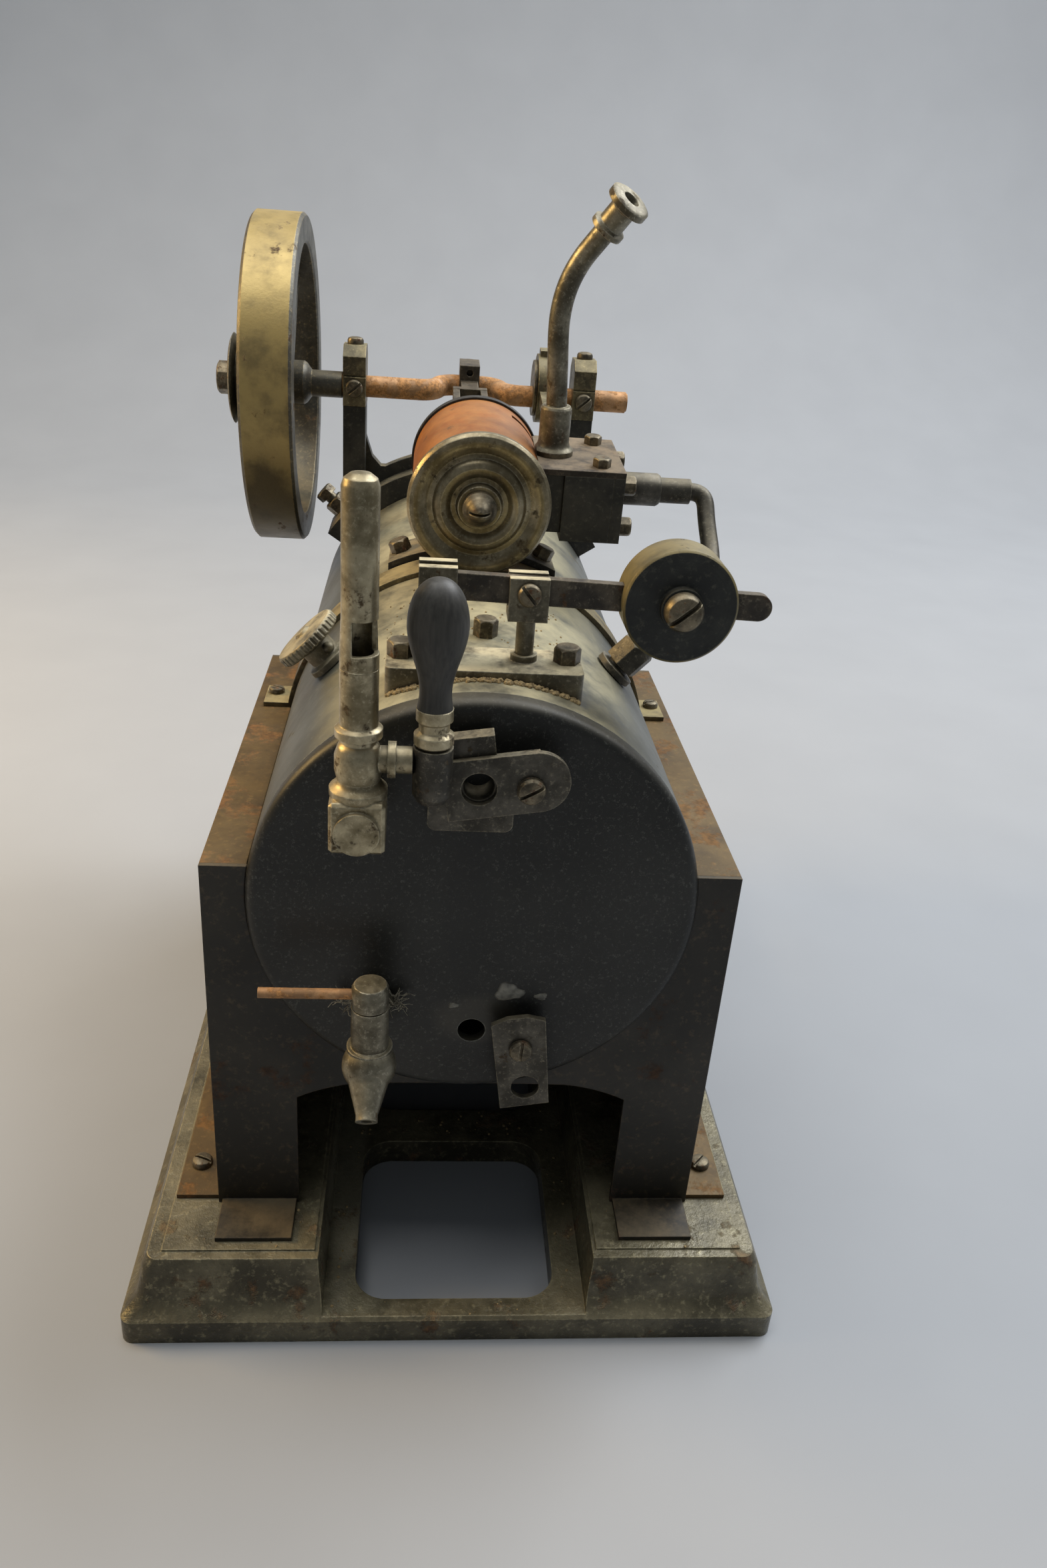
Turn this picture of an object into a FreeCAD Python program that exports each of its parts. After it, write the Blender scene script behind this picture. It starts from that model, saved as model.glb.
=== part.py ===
"""Model steam engine with the engine on top of its boiler.

Lengths are in millimetres and +Z is up. While it is being built, y = 0 is the outer
face of the firebox and z = 0 is the table. On export everything is moved along Y so
that the origin is in the middle of the underside of the base.
"""
import FreeCAD, Part
import math
import os

os.makedirs("parts", exist_ok=True)
V = FreeCAD.Vector
X_AXIS = V(1, 0, 0)
Y_AXIS = V(0, 1, 0)
Z_AXIS = V(0, 0, 1)

# ---------------------------------------------------------------- driving sizes
boiler_radius = 50.0
boiler_axis_height = 112.3
boiler_wall = 1.4
boiler_front = -3.0
boiler_rear = 214.0
head_edge_radius = 2.5

base_half_width = 80.3
base_length = 258.4
base_front_margin = 23.3
lip_height = 7.7
platform_height = 21.6
seat_height = 22.1
platform_inset = 6.0
base_wall = 4.2
trough_half_width = 32.3
trough_end = 118.0
hole_half_width = 25.0
hole_length = 54.0
first_hole_start = -17.5
bridge_width = 13.0

firebox_half_width = 59.7
firebox_depth = 129.0
shelf_height = 120.5
sheet = 1.2
leg_inner = 39.8
foot_depth = 12.5
flange_width = 10.6
arch_corner_height = 56.4
arch_top_height = 61.3

strap_front = 88.0
strap_width = 12.5
strap_thickness = 1.3
strap_foot = 6.5

shaft_y = 198.0
shaft_height = 193.0
shaft_radius = 3.5
cylinder_slope = 5.0
crank_throw = 10.0
pin_half_length = 4.5
bend_run = 12.5
shaft_left = -84.0
shaft_right = 54.5

flywheel_radius = 52.0
flywheel_width = 16.0
flywheel_middle = -62.6
hub_reach = 3.4
rim_thickness = 9.0
spoke_count = 6
hub_radius = 7.0
hub_right = -53.2
collar_radius = 4.3
pulley_radius = 14.5
pulley_width = 6.4
shaft_nut_width = 4.0
shaft_nut_flats = 9.5

bearing_offset = 38.7
bearing_width = 7.5
bearing_depth = 14.0
bearing_bottom = 187.3
bearing_top = 206.4
saddle_front = 190.0
saddle_rear = 212.0
saddle_thickness = 7.0
saddle_angle = 56.5
web_radius = 61.0
web_front = 198.5
web_rear = 203.5

cylinder_front = 118.5
cylinder_rear = 80.0
cylinder_radius = 15.5
bore_radius = cylinder_radius - 3.5
lagging_radius = cylinder_radius + 1.9
ring_radius = lagging_radius + 0.6
ring_width = 2.5
front_cover_radius = cylinder_radius + 3.0
front_cover_thickness = 4.0
rear_cover_thickness = 3.5
piston_thickness = 8.0
piston_rod_radius = 2.0
rod_length = 42.0
shank_length = 17.5
big_end_half_height = 8.0
big_end_half_width = 3.4
big_end_reach = 6.0
fork_gap = 7.0
tine = 2.2
crosshead_width = 6.0

port_face = cylinder_radius + 6.5
chest_side = port_face + 13.0
chest_cover = 3.0
chest_front = 114.0
chest_rear = 82.0
chest_top = 7.0
chest_bottom = -10.5
chest_wall = 2.6
top_plate = 1.5
valve_x = port_face + 3.0
valve_throw = 3.0
valve_centre = 99.0
spindle_radius = 1.25
sheave_radius = 8.0
sheave_width = 7.0
eccentric_rod_length = 52.0
ecc_fork_depth = 9.6

exhaust_x = port_face - 2.2
exhaust_bore = 1.6
steam_boss_radius = 4.4

lever_y = 17.5
lever_pivot_x = -10.6
lever_pivot_height = 180.0
lever_droop = 1.5
lever_height = 5.8
lever_thickness = 2.4
lever_end = 61.0
stem_x = 8.5
stem_radius = 2.0
weight_radius = 12.3
weight_thickness = 10.0
weight_x = 40.4
valve_block_top = 164.0
valve_block_half = 21.0

shoulder_angle = 45.0
union_angle = 43.0
filler_y = 54.0
union_y = 52.0
cap_radius = 8.8

whistle_x = -24.9
fittings_y = -15.0
handle_x = -10.6
cock_x = -22.0

running = 0.04
snug = 0.02


# ---------------------------------------------------------------- helpers
def block(x0, x1, y0, y1, z0, z1):
    return Part.makeBox(x1 - x0, y1 - y0, z1 - z0, V(x0, y0, z0))


def rod(radius, length, start, direction):
    return Part.makeCylinder(radius, length, start, direction)


def turned_curve(profile, start):
    """Like turned, but one smooth curve runs through the points, from the foot to the crown."""
    curve = Part.BSplineCurve()
    curve.interpolate([V(radius, 0, along) for radius, along in profile])
    foot = V(0, 0, profile[0][1])
    crown = V(0, 0, profile[-1][1])
    first = V(profile[0][0], 0, profile[0][1])
    wire = Part.Wire([curve.toShape(), Part.makeLine(crown, foot), Part.makeLine(foot, first)])
    solid = Part.Face(wire).revolve(V(0, 0, 0), Z_AXIS, 360)
    solid.translate(start)
    return solid


def ring(outer, inner, length, start, direction):
    solid = Part.makeCylinder(outer, length, start, direction)
    return solid.cut(Part.makeCylinder(inner, length, start, direction))


def turned(profile, start, direction):
    """Spin (radius, distance) points about an axis through start."""
    points = [V(radius, 0, along) for radius, along in profile]
    points.append(points[0])
    face = Part.Face(Part.makePolygon(points))
    solid = face.revolve(V(0, 0, 0), Z_AXIS, 360)
    solid.Placement = FreeCAD.Placement(start, FreeCAD.Rotation(Z_AXIS, direction))
    return solid


def hexagon(across_flats, length, start, direction):
    radius = across_flats / math.sqrt(3)
    points = []
    for step in range(7):
        angle = math.radians(60 * step)
        points.append(V(radius * math.cos(angle), radius * math.sin(angle), 0))
    solid = Part.Face(Part.makePolygon(points)).extrude(V(0, 0, length))
    cone = Part.makeCone(radius * 1.02, across_flats * 0.46, length * 0.18, V(0, 0, length * 0.82), Z_AXIS)
    lower = Part.makeCylinder(radius * 1.02, length * 0.82)
    solid = solid.common(lower.fuse(cone))
    solid.Placement = FreeCAD.Placement(start, FreeCAD.Rotation(Z_AXIS, direction))
    return solid


def slotted_screw(head_radius, head_height, shank_radius, shank_length, seat, direction, turn=0):
    """Head stands out of seat along direction, shank goes the other way."""
    low = head_height * 0.55
    profile = [
        (0, -shank_length),
        (shank_radius, -shank_length),
        (shank_radius, 0),
        (head_radius, 0),
        (head_radius, low),
        (head_radius * 0.86, head_height * 0.86),
        (head_radius * 0.55, head_height),
        (0, head_height),
    ]
    screw = turned(profile, V(0, 0, 0), Z_AXIS)
    width = head_radius * 0.26
    slot = block(-head_radius, head_radius, -width / 2, width / 2, head_height * 0.5, head_height)
    slot.rotate(V(0, 0, 0), Z_AXIS, turn)
    screw = screw.cut(slot)
    screw.Placement = FreeCAD.Placement(seat, FreeCAD.Rotation(Z_AXIS, direction))
    return screw


def swept(points, radius):
    """Round bar through the points, dead straight between the first two and the last two."""
    start_dir = points[1] - points[0]
    end_dir = points[-1] - points[-2]
    start_dir.normalize()
    end_dir.normalize()
    curve = Part.BSplineCurve()
    curve.interpolate(Points=points[1:-1], InitialTangent=start_dir, FinalTangent=end_dir)
    edges = [Part.makeLine(points[0], points[1]), curve.toShape(), Part.makeLine(points[-2], points[-1])]
    circle = Part.Wire([Part.makeCircle(radius, points[0], start_dir)])
    return Part.Wire(edges).makePipeShell([circle], True, False)


def tube(points, outer, inner):
    return swept(points, outer).cut(swept(points, inner))


def extruded_xz(points, y0, y1):
    outline = [V(x, y0, z) for x, z in points]
    outline.append(outline[0])
    return Part.Face(Part.makePolygon(outline)).extrude(V(0, y1 - y0, 0))


def boiler_solid(extra, y0, y1):
    return rod(boiler_radius + extra, y1 - y0, V(0, y0, boiler_axis_height), Y_AXIS)


def outward(angle):
    """Unit vector square to the barrel, angle measured from straight up."""
    turn = math.radians(angle)
    return V(math.sin(turn), 0, math.cos(turn))


def on_shell(angle, y, out):
    return V(0, y, boiler_axis_height) + outward(angle) * (boiler_radius + out)


def engine(shape):
    """Tilt a piece built round the shaft centre, with the cylinder axis along -Y."""
    moved = shape.copy()
    moved.rotate(V(0, 0, 0), X_AXIS, cylinder_slope)
    moved.translate(V(0, shaft_y, shaft_height))
    return moved


def engine_point(point):
    turn = math.radians(cylinder_slope)
    y = point.y * math.cos(turn) - point.z * math.sin(turn)
    z = point.y * math.sin(turn) + point.z * math.cos(turn)
    return V(point.x, shaft_y + y, shaft_height + z)


def mirrored_x(shape):
    return shape.mirror(V(0, 0, 0), X_AXIS)


nodes = {}


def keep(name, shape):
    nodes[name] = shape


# ---------------------------------------------------------------- base
base_rear = base_length - base_front_margin


def rounded_outline(inset, z, radius):
    x = base_half_width - inset
    y0 = -base_front_margin + inset
    y1 = base_rear - inset
    half = math.sqrt(0.5) * radius
    lines = []
    corners = [(x, y1, 0), (-x, y1, 90), (-x, y0, 180), (x, y0, 270)]
    previous = None
    first = None
    for cx, cy, start in corners:
        sx = 1 if cx > 0 else -1
        sy = 1 if cy > y0 else -1
        centre = V(cx - sx * radius, cy - sy * radius, z)
        a = math.radians(start)
        b = math.radians(start + 90)
        begin = centre + V(radius * math.cos(a), radius * math.sin(a), 0)
        end = centre + V(radius * math.cos(b), radius * math.sin(b), 0)
        middle = centre + V(sx * half, sy * half, 0)
        if previous is not None:
            lines.append(Part.makeLine(previous, begin))
        else:
            first = begin
        lines.append(Part.Arc(begin, middle, end).toShape())
        previous = end
    lines.append(Part.makeLine(previous, first))
    return Part.Wire(lines)


slope_rise = platform_height - lip_height
levels = [
    (0.0, 0.0),
    (0.0, lip_height - 0.8),
    (0.8, lip_height),
]
lower = Part.makeLoft([rounded_outline(i, z, 3.0) for i, z in levels[:2]], True, True)
edge = Part.makeLoft([rounded_outline(i, z, 3.0) for i, z in levels[1:]], True, True)
base = lower.fuse(edge)
cove = [
    (0.8, 0.0),
    (2.6, 0.13),
    (3.7, 0.32),
    (4.4, 0.60),
    (4.9, 0.84),
    (platform_inset, 1.0),
]
for step in range(len(cove) - 1):
    low = cove[step]
    high = cove[step + 1]
    wires = [rounded_outline(i, lip_height + slope_rise * f, 3.0) for i, f in (low, high)]
    base = base.fuse(Part.makeLoft(wires, True, True))
base = base.removeSplitter()
trough = extruded_xz(
    [
        (-trough_half_width, lip_height),
        (trough_half_width, lip_height),
        (trough_half_width + 1.5, platform_height + 3),
        (-trough_half_width - 1.5, platform_height + 3),
    ],
    -base_front_margin - 1,
    trough_end,
)
base = base.cut(trough)
hole_starts = [first_hole_start, first_hole_start + hole_length + bridge_width]
for start in hole_starts:
    hole = block(-hole_half_width, hole_half_width, start, start + hole_length, -1, lip_height + 1)
    uprights = [e for e in hole.Edges if abs(e.tangentAt(e.FirstParameter).z) > 0.9]
    base = base.cut(hole.makeFillet(8.0, uprights))
pocket_inner = trough_half_width + base_wall
pocket_outer = base_half_width - platform_inset - base_wall + 0.8
pocket_front = -base_front_margin + platform_inset + base_wall - 0.8
pocket_rear = base_rear - platform_inset - base_wall + 0.8
pockets = [
    (pocket_inner, pocket_outer, pocket_front, trough_end),
    (-pocket_outer, -pocket_inner, pocket_front, trough_end),
    (-pocket_outer, pocket_outer, trough_end + base_wall, pocket_rear),
]
for x0, x1, y0, y1 in pockets:
    pocket = block(x0, x1, y0, y1, -1, platform_height - base_wall)
    uprights = [e for e in pocket.Edges if abs(e.tangentAt(e.FirstParameter).z) > 0.9]
    base = base.cut(pocket.makeFillet(4.0, uprights))
seat_inner = trough_half_width + 2.2
seat_outer = firebox_half_width + flange_width + 0.6
for side in (-1, 1):
    x0 = min(side * seat_inner, side * seat_outer)
    x1 = max(side * seat_inner, side * seat_outer)
    seat = block(x0, x1, -15.0, firebox_depth + 14.0, platform_height - 0.5, seat_height)
    base = base.fuse(seat)
flange_screw_x = firebox_half_width + 6.1
flange_screw_ys = (12.0, firebox_depth - 12.0)
for side in (-1, 1):
    for y in flange_screw_ys:
        base = base.cut(rod(1.4 + snug, 6.0, V(side * flange_screw_x, y, seat_height - 4.2), Z_AXIS))
support_y0 = 186.0
support_y1 = 208.0
keep("base_plate", base)

# ---------------------------------------------------------------- firebox
cut_radius = boiler_radius + 0.15


def casing_plate(y0, arch):
    plate = block(-firebox_half_width, firebox_half_width, y0, y0 + sheet, seat_height, shelf_height)
    plate = plate.cut(rod(cut_radius, sheet, V(0, y0, boiler_axis_height), Y_AXIS))
    if not arch:
        return plate
    knee_x = leg_inner * 0.62
    knee_z = arch_top_height - 0.3
    shoulder = V(leg_inner * 0.85, y0, arch_top_height - 2.35)
    edges = [
        Part.makeLine(V(-leg_inner, y0, seat_height - 1), V(leg_inner, y0, seat_height - 1)),
        Part.makeLine(V(leg_inner, y0, seat_height - 1), V(leg_inner, y0, arch_corner_height)),
        Part.Arc(V(leg_inner, y0, arch_corner_height), shoulder, V(knee_x, y0, knee_z)).toShape(),
        Part.Arc(V(knee_x, y0, knee_z), V(0, y0, arch_top_height), V(-knee_x, y0, knee_z)).toShape(),
        Part.Arc(V(-knee_x, y0, knee_z), V(-shoulder.x, y0, shoulder.z),
                 V(-leg_inner, y0, arch_corner_height)).toShape(),
        Part.makeLine(V(-leg_inner, y0, arch_corner_height), V(-leg_inner, y0, seat_height - 1)),
    ]
    opening = Part.Face(Part.Wire(edges)).extrude(V(0, sheet, 0))
    return plate.cut(opening)


front_plate = casing_plate(0.0, True)
rear_plate = casing_plate(firebox_depth - sheet, False)
for side in (-1, 1):
    x0 = min(side * (leg_inner + 0.6), side * (firebox_half_width - 1.0))
    x1 = max(side * (leg_inner + 0.6), side * (firebox_half_width - 1.0))
    foot = block(x0, x1, -foot_depth, 0.4, seat_height, seat_height + sheet)
    front_plate = front_plate.fuse(foot)
    back_foot = block(x0, x1, firebox_depth - 0.4, firebox_depth + foot_depth, seat_height, seat_height + sheet)
    rear_plate = rear_plate.fuse(back_foot)
keep("firebox_front_plate", front_plate.removeSplitter())
keep("firebox_rear_plate", rear_plate.removeSplitter())

inside_y0 = sheet + snug
inside_y1 = firebox_depth - sheet - snug
wall_x = firebox_half_width - sheet
shelf_inner = math.sqrt(cut_radius ** 2 - (shelf_height - sheet - boiler_axis_height) ** 2)
right_side = block(wall_x, firebox_half_width, inside_y0, inside_y1, seat_height, shelf_height)
right_side = right_side.fuse(
    block(shelf_inner, wall_x + 0.5, inside_y0, inside_y1, shelf_height - sheet, shelf_height))
right_side = right_side.fuse(
    block(wall_x + 0.5, firebox_half_width + flange_width, inside_y0, inside_y1, seat_height, seat_height + sheet))
for y in flange_screw_ys:
    right_side = right_side.cut(rod(1.4 + snug, 4.0, V(flange_screw_x, y, seat_height - 1), Z_AXIS))
strap_reach = math.sqrt((boiler_radius + 0.4) ** 2 - (shelf_height - boiler_axis_height) ** 2)
strap_screw_x = strap_reach + strap_foot - 1.8
strap_screw_y = strap_front + strap_width * 0.62
right_side = right_side.cut(
    rod(1.2 + snug, 4.0, V(strap_screw_x, strap_screw_y, shelf_height - 3), Z_AXIS))
right_side = right_side.removeSplitter()
keep("firebox_sides", Part.makeCompound([right_side, mirrored_x(right_side)]))

casing_screws = []
for side in (-1, 1):
    for y in flange_screw_ys:
        seat = V(side * flange_screw_x, y, seat_height + sheet)
        casing_screws.append(slotted_screw(2.6, 1.9, 1.4, 5.2, seat, Z_AXIS, 35 * side + y))
    seat = V(side * strap_screw_x, strap_screw_y, shelf_height + strap_thickness)
    casing_screws.append(slotted_screw(2.2, 1.7, 1.2, 4.0, seat, Z_AXIS, 20 * side))

# ---------------------------------------------------------------- boiler
head_depth = 5.0
barrel_y0 = boiler_front + head_depth
barrel_y1 = boiler_rear - head_depth
inner_radius = boiler_radius - boiler_wall
barrel = ring(boiler_radius, inner_radius, barrel_y1 - barrel_y0, V(0, barrel_y0, boiler_axis_height), Y_AXIS)
for angle, y in ((-shoulder_angle, filler_y), (union_angle, union_y)):
    barrel = barrel.cut(rod(2.6, 8.0, on_shell(angle, y, -5), outward(angle)))
stem_angle = math.degrees(math.asin(stem_x / boiler_radius))
barrel = barrel.cut(rod(stem_radius + 0.35, 12.0, V(stem_x, lever_y, boiler_axis_height + boiler_radius - 7), Z_AXIS))
keep("boiler_barrel", barrel)


def boiler_head(outer_y, towards_inside):
    """Flanged cap with a rounded edge and a short spigot inside the barrel."""
    spigot = inner_radius - snug
    corner = head_edge_radius
    profile = [
        (0, 0),
        (boiler_radius - corner, 0),
        (boiler_radius - corner * 0.62, corner * 0.08),
        (boiler_radius - corner * 0.29, corner * 0.29),
        (boiler_radius - corner * 0.08, corner * 0.62),
        (boiler_radius, corner),
        (boiler_radius, head_depth),
        (spigot, head_depth),
        (spigot, head_depth + 5.0),
        (spigot - 1.6, head_depth + 5.0),
        (spigot - 1.6, 2.4),
        (0, 2.4),
    ]
    return turned(profile, V(0, outer_y, boiler_axis_height), Y_AXIS * towards_inside)


gauge_hole_x = 0.9
gauge_hole_z = 79.7
front_head = boiler_head(boiler_front, 1)
front_head = front_head.cut(rod(3.2, 9.0, V(gauge_hole_x, boiler_front - 1, gauge_hole_z), Y_AXIS))
keep("boiler_front_head", front_head)
keep("boiler_rear_head", boiler_head(boiler_rear, -1))

strap = ring(boiler_radius + strap_thickness, boiler_radius + snug, strap_width,
             V(0, strap_front, boiler_axis_height), Y_AXIS)
strap = strap.cut(block(-60, 60, strap_front - 1, strap_front + strap_width + 1, 0, shelf_height))
for side in (-1, 1):
    inner = strap_reach
    outer_x = inner + strap_foot + 1.0
    foot = block(min(side * inner, side * outer_x), max(side * inner, side * outer_x),
                 strap_front, strap_front + strap_width, shelf_height, shelf_height + strap_thickness)
    foot = foot.cut(rod(1.2 + snug, 4.0, V(side * strap_screw_x, strap_screw_y, shelf_height - 1), Z_AXIS))
    strap = strap.fuse(foot)
keep("boiler_strap", strap.removeSplitter())

support = extruded_xz(
    [
        (-34, platform_height),
        (34, platform_height),
        (34, platform_height + 5),
        (26, platform_height + 7),
        (24, 60),
        (30, 78),
        (-30, 78),
        (-24, 60),
        (-26, platform_height + 7),
        (-34, platform_height + 5),
    ],
    support_y0 + 7,
    support_y1 - 7,
)
support = support.fuse(block(-34, 34, support_y0, support_y1, platform_height, platform_height + 5))
cradle = rod(boiler_radius + 4, support_y1 - support_y0 - 6, V(0, support_y0 + 3, boiler_axis_height), Y_AXIS)
cradle = cradle.common(block(-29, 29, support_y0, support_y1, 50, 78))
support = support.fuse(cradle).cut(boiler_solid(snug, support_y0 - 1, support_y1 + 1))
keep("rear_support", support.removeSplitter())

# ---------------------------------------------------------------- engine frame
post_y0 = shaft_y - bearing_depth / 2 + 1
post_y1 = shaft_y + bearing_depth / 2 - 2
post_inner = bearing_offset - bearing_width / 2
post_outer = bearing_offset + bearing_width / 2
saddle = boiler_solid(saddle_thickness, saddle_front, saddle_rear)
wedge_x = 90 * math.tan(math.radians(saddle_angle))
wedge = extruded_xz(
    [
        (0, boiler_axis_height),
        (wedge_x, boiler_axis_height + 90),
        (-wedge_x, boiler_axis_height + 90),
    ],
    saddle_front - 1,
    saddle_rear + 1,
)
saddle = saddle.common(wedge)
web = rod(web_radius, web_rear - web_front, V(0, web_front, boiler_axis_height), Y_AXIS)
web = web.common(block(-post_outer, post_outer, web_front, web_rear, boiler_axis_height + 20, 200))
frame = saddle.fuse(web)
for side in (-1, 1):
    x0 = min(side * post_inner, side * post_outer)
    x1 = max(side * post_inner, side * post_outer)
    frame = frame.fuse(block(x0, x1, post_y0, post_y1, boiler_axis_height + 20, bearing_bottom))
    # concave fillet where the post runs into the web
    top_z = boiler_axis_height + math.sqrt(web_radius ** 2 - (post_inner - 5) ** 2)
    gusset = extruded_xz(
        [
            (side * post_inner, top_z - 9),
            (side * (post_inner + 1), top_z + 14),
            (side * (post_inner - 0.6), top_z + 9),
            (side * (post_inner - 2.2), top_z + 4.2),
            (side * (post_inner - 5.2), top_z + 1.0),
            (side * (post_inner - 9.5), top_z + 0.9),
        ],
        web_front,
        web_rear,
    )
    frame = frame.fuse(gusset)
frame = frame.cut(boiler_solid(snug, saddle_front - 1, saddle_rear + 1))
frame = frame.removeSplitter()
keep("engine_frame", frame)

frame_bolt_y = (post_y1 + saddle_rear) / 2 + 0.2
frame_bolt_angle = 50.0
hex_nuts = []
for side in (-1, 1):
    angle = side * frame_bolt_angle
    seat = on_shell(angle, frame_bolt_y, saddle_thickness)
    nut = hexagon(7.2, 4.6, seat, outward(angle))
    nut = nut.fuse(rod(2.1, 2.6, on_shell(angle, frame_bolt_y, saddle_thickness + 4.0), outward(angle)))
    head = hexagon(6.2, 3.2, on_shell(angle, frame_bolt_y, saddle_thickness + 6.2), outward(angle))
    hex_nuts.append(nut.fuse(head).removeSplitter())

# ---------------------------------------------------------------- bearings
slotted = casing_screws
bearings = []
front_shank = bearing_depth / 2 - shaft_radius - 0.6
for side in (-1, 1):
    centre_x = side * bearing_offset
    body = block(centre_x - bearing_width / 2, centre_x + bearing_width / 2,
                 shaft_y - bearing_depth / 2, shaft_y + bearing_depth / 2, bearing_bottom, bearing_top)
    top_edges = []
    for e in body.Edges:
        if e.CenterOfMass.z > bearing_top - 0.1 and abs(e.tangentAt(e.FirstParameter).x) > 0.9:
            top_edges.append(e)
    body = body.makeChamfer(3.4, top_edges)
    groove = block(centre_x - bearing_width, centre_x + bearing_width,
                   shaft_y - bearing_depth, shaft_y - bearing_depth / 2 + 0.5,
                   shaft_height + 3.6, shaft_height + 4.2)
    body = body.cut(groove)
    body = body.cut(rod(shaft_radius + running, 20, V(centre_x - 10, shaft_y, shaft_height), X_AXIS))
    body = body.cut(rod(1.3 + snug, 12, V(centre_x, shaft_y, shaft_height + shaft_radius + 1.0), Z_AXIS))
    body = body.cut(rod(1.3 + snug, front_shank + 0.3, V(centre_x, shaft_y - bearing_depth / 2, shaft_height), Y_AXIS))
    bearings.append(body)
    top_seat = V(centre_x, shaft_y, bearing_top)
    slotted.append(slotted_screw(2.7, 2.2, 1.3, bearing_top - shaft_height - shaft_radius - 1.5, top_seat, Z_AXIS, 10))
    front_seat = V(centre_x, shaft_y - bearing_depth / 2, shaft_height)
    slotted.append(slotted_screw(2.9, 1.8, 1.3, front_shank, front_seat, Y_AXIS * -1, 40))
keep("bearing_blocks", Part.makeCompound(bearings))

# ---------------------------------------------------------------- crankshaft group
# At rest the crank points straight away from the cylinder and the eccentric points up.
half_run = bend_run / 2
half_rise = crank_throw / 2
bend_angle = 2 * math.atan2(half_rise, half_run)
bend_radius = half_run / math.sin(bend_angle)


def bend(x_start, direction):
    """Two arcs that carry the shaft from its axis (outer end) to the pin line."""
    x_mid = x_start + direction * half_run
    x_end = x_start + direction * bend_run
    turn = bend_angle / 2
    dx = bend_radius * math.sin(turn)
    dy = bend_radius * (1 - math.cos(turn))
    first = Part.Arc(V(x_start, 0, 0), V(x_start + direction * dx, dy, 0), V(x_mid, half_rise, 0))
    second = Part.Arc(V(x_mid, half_rise, 0), V(x_end - direction * dx, crank_throw - dy, 0),
                      V(x_end, crank_throw, 0))
    return first.toShape(), second.toShape()


left_start = -(pin_half_length + bend_run)
right_start = pin_half_length + bend_run
arcs_left = bend(left_start, 1)
arcs_right = bend(right_start, -1)
path = Part.Wire([
    Part.makeLine(V(shaft_left, 0, 0), V(left_start, 0, 0)),
    arcs_left[0],
    arcs_left[1],
    Part.makeLine(V(-pin_half_length, crank_throw, 0), V(pin_half_length, crank_throw, 0)),
    arcs_right[1],
    arcs_right[0],
    Part.makeLine(V(right_start, 0, 0), V(shaft_right, 0, 0)),
])
section = Part.Wire([Part.makeCircle(shaft_radius, V(shaft_left, 0, 0), X_AXIS)])
crankshaft = path.makePipeShell([section], True, False)
crankshaft = crankshaft.cut(
    ring(shaft_radius + 2, shaft_radius - 0.5, 0.5, V(shaft_right - 0.5, 0, 0), X_AXIS))
keep("crankshaft", engine(crankshaft))

shaft_fit = shaft_radius + snug
wheel_x0 = flywheel_middle - flywheel_width / 2
wheel_x1 = flywheel_middle + flywheel_width / 2
rim_inner = flywheel_radius - rim_thickness
rim = turned(
    [
        (rim_inner, 0.6),
        (rim_inner + 0.8, 0),
        (flywheel_radius - 0.9, 0),
        (flywheel_radius, 0.9),
        (flywheel_radius, flywheel_width - 0.9),
        (flywheel_radius - 0.9, flywheel_width),
        (rim_inner + 0.8, flywheel_width),
        (rim_inner, flywheel_width - 0.6),
    ],
    V(wheel_x0, 0, 0),
    X_AXIS,
)
hub_left = wheel_x0 - hub_reach
collar_end = -bearing_offset - bearing_width / 2 - 0.6
hub = turned(
    [
        (0, 0),
        (hub_radius, 0),
        (hub_radius, hub_right - hub_left - 2.5),
        (hub_radius - 0.6, hub_right - hub_left - 1.6),
        (collar_radius, hub_right - hub_left),
        (collar_radius, collar_end - hub_left),
        (0, collar_end - hub_left),
    ],
    V(hub_left, 0, 0),
    X_AXIS,
)
wheel = rim.fuse(hub)
for step in range(spoke_count):
    near = Part.Wire([Part.Ellipse(V(0, 0, 0), 4.6, 2.9).toShape()])
    near.rotate(V(0, 0, 0), Z_AXIS, 90)
    far = Part.Wire([Part.Ellipse(V(0, 0, 0), 3.5, 2.3).toShape()])
    far.rotate(V(0, 0, 0), Z_AXIS, 90)
    near.translate(V(0, 0, hub_radius - 2.0))
    far.translate(V(0, 0, rim_inner + 1.5))
    spoke = Part.makeLoft([near, far], True, True)
    spoke.translate(V(flywheel_middle, 0, 0))
    spoke.rotate(V(0, 0, 0), X_AXIS, 360.0 / spoke_count * step + 12)
    wheel = wheel.fuse(spoke)
wheel = wheel.cut(rod(shaft_fit, 60, V(wheel_x0 - 10, 0, 0), X_AXIS))
keep("flywheel", engine(wheel))

pulley_x1 = hub_left - snug
pulley_x0 = pulley_x1 - pulley_width
pulley = turned(
    [
        (shaft_fit, 0),
        (7.0, 0),
        (8.0, 1.0),
        (pulley_radius - 1.2, 1.0),
        (pulley_radius, 1.6),
        (pulley_radius - 3.8, pulley_width / 2),
        (pulley_radius, pulley_width - 1.2),
        (pulley_radius - 0.6, pulley_width - 0.5),
        (shaft_fit, pulley_width),
    ],
    V(pulley_x0, 0, 0),
    X_AXIS,
)
keep("belt_pulley", engine(pulley))
nut_x0 = pulley_x0 - snug - shaft_nut_width
shaft_nut = hexagon(shaft_nut_flats, shaft_nut_width, V(nut_x0 + shaft_nut_width, 0, 0), X_AXIS * -1)
shaft_nut = shaft_nut.cut(rod(shaft_fit, 20, V(nut_x0 - 5, 0, 0), X_AXIS))
keep("shaft_nut", engine(shaft_nut))

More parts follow.
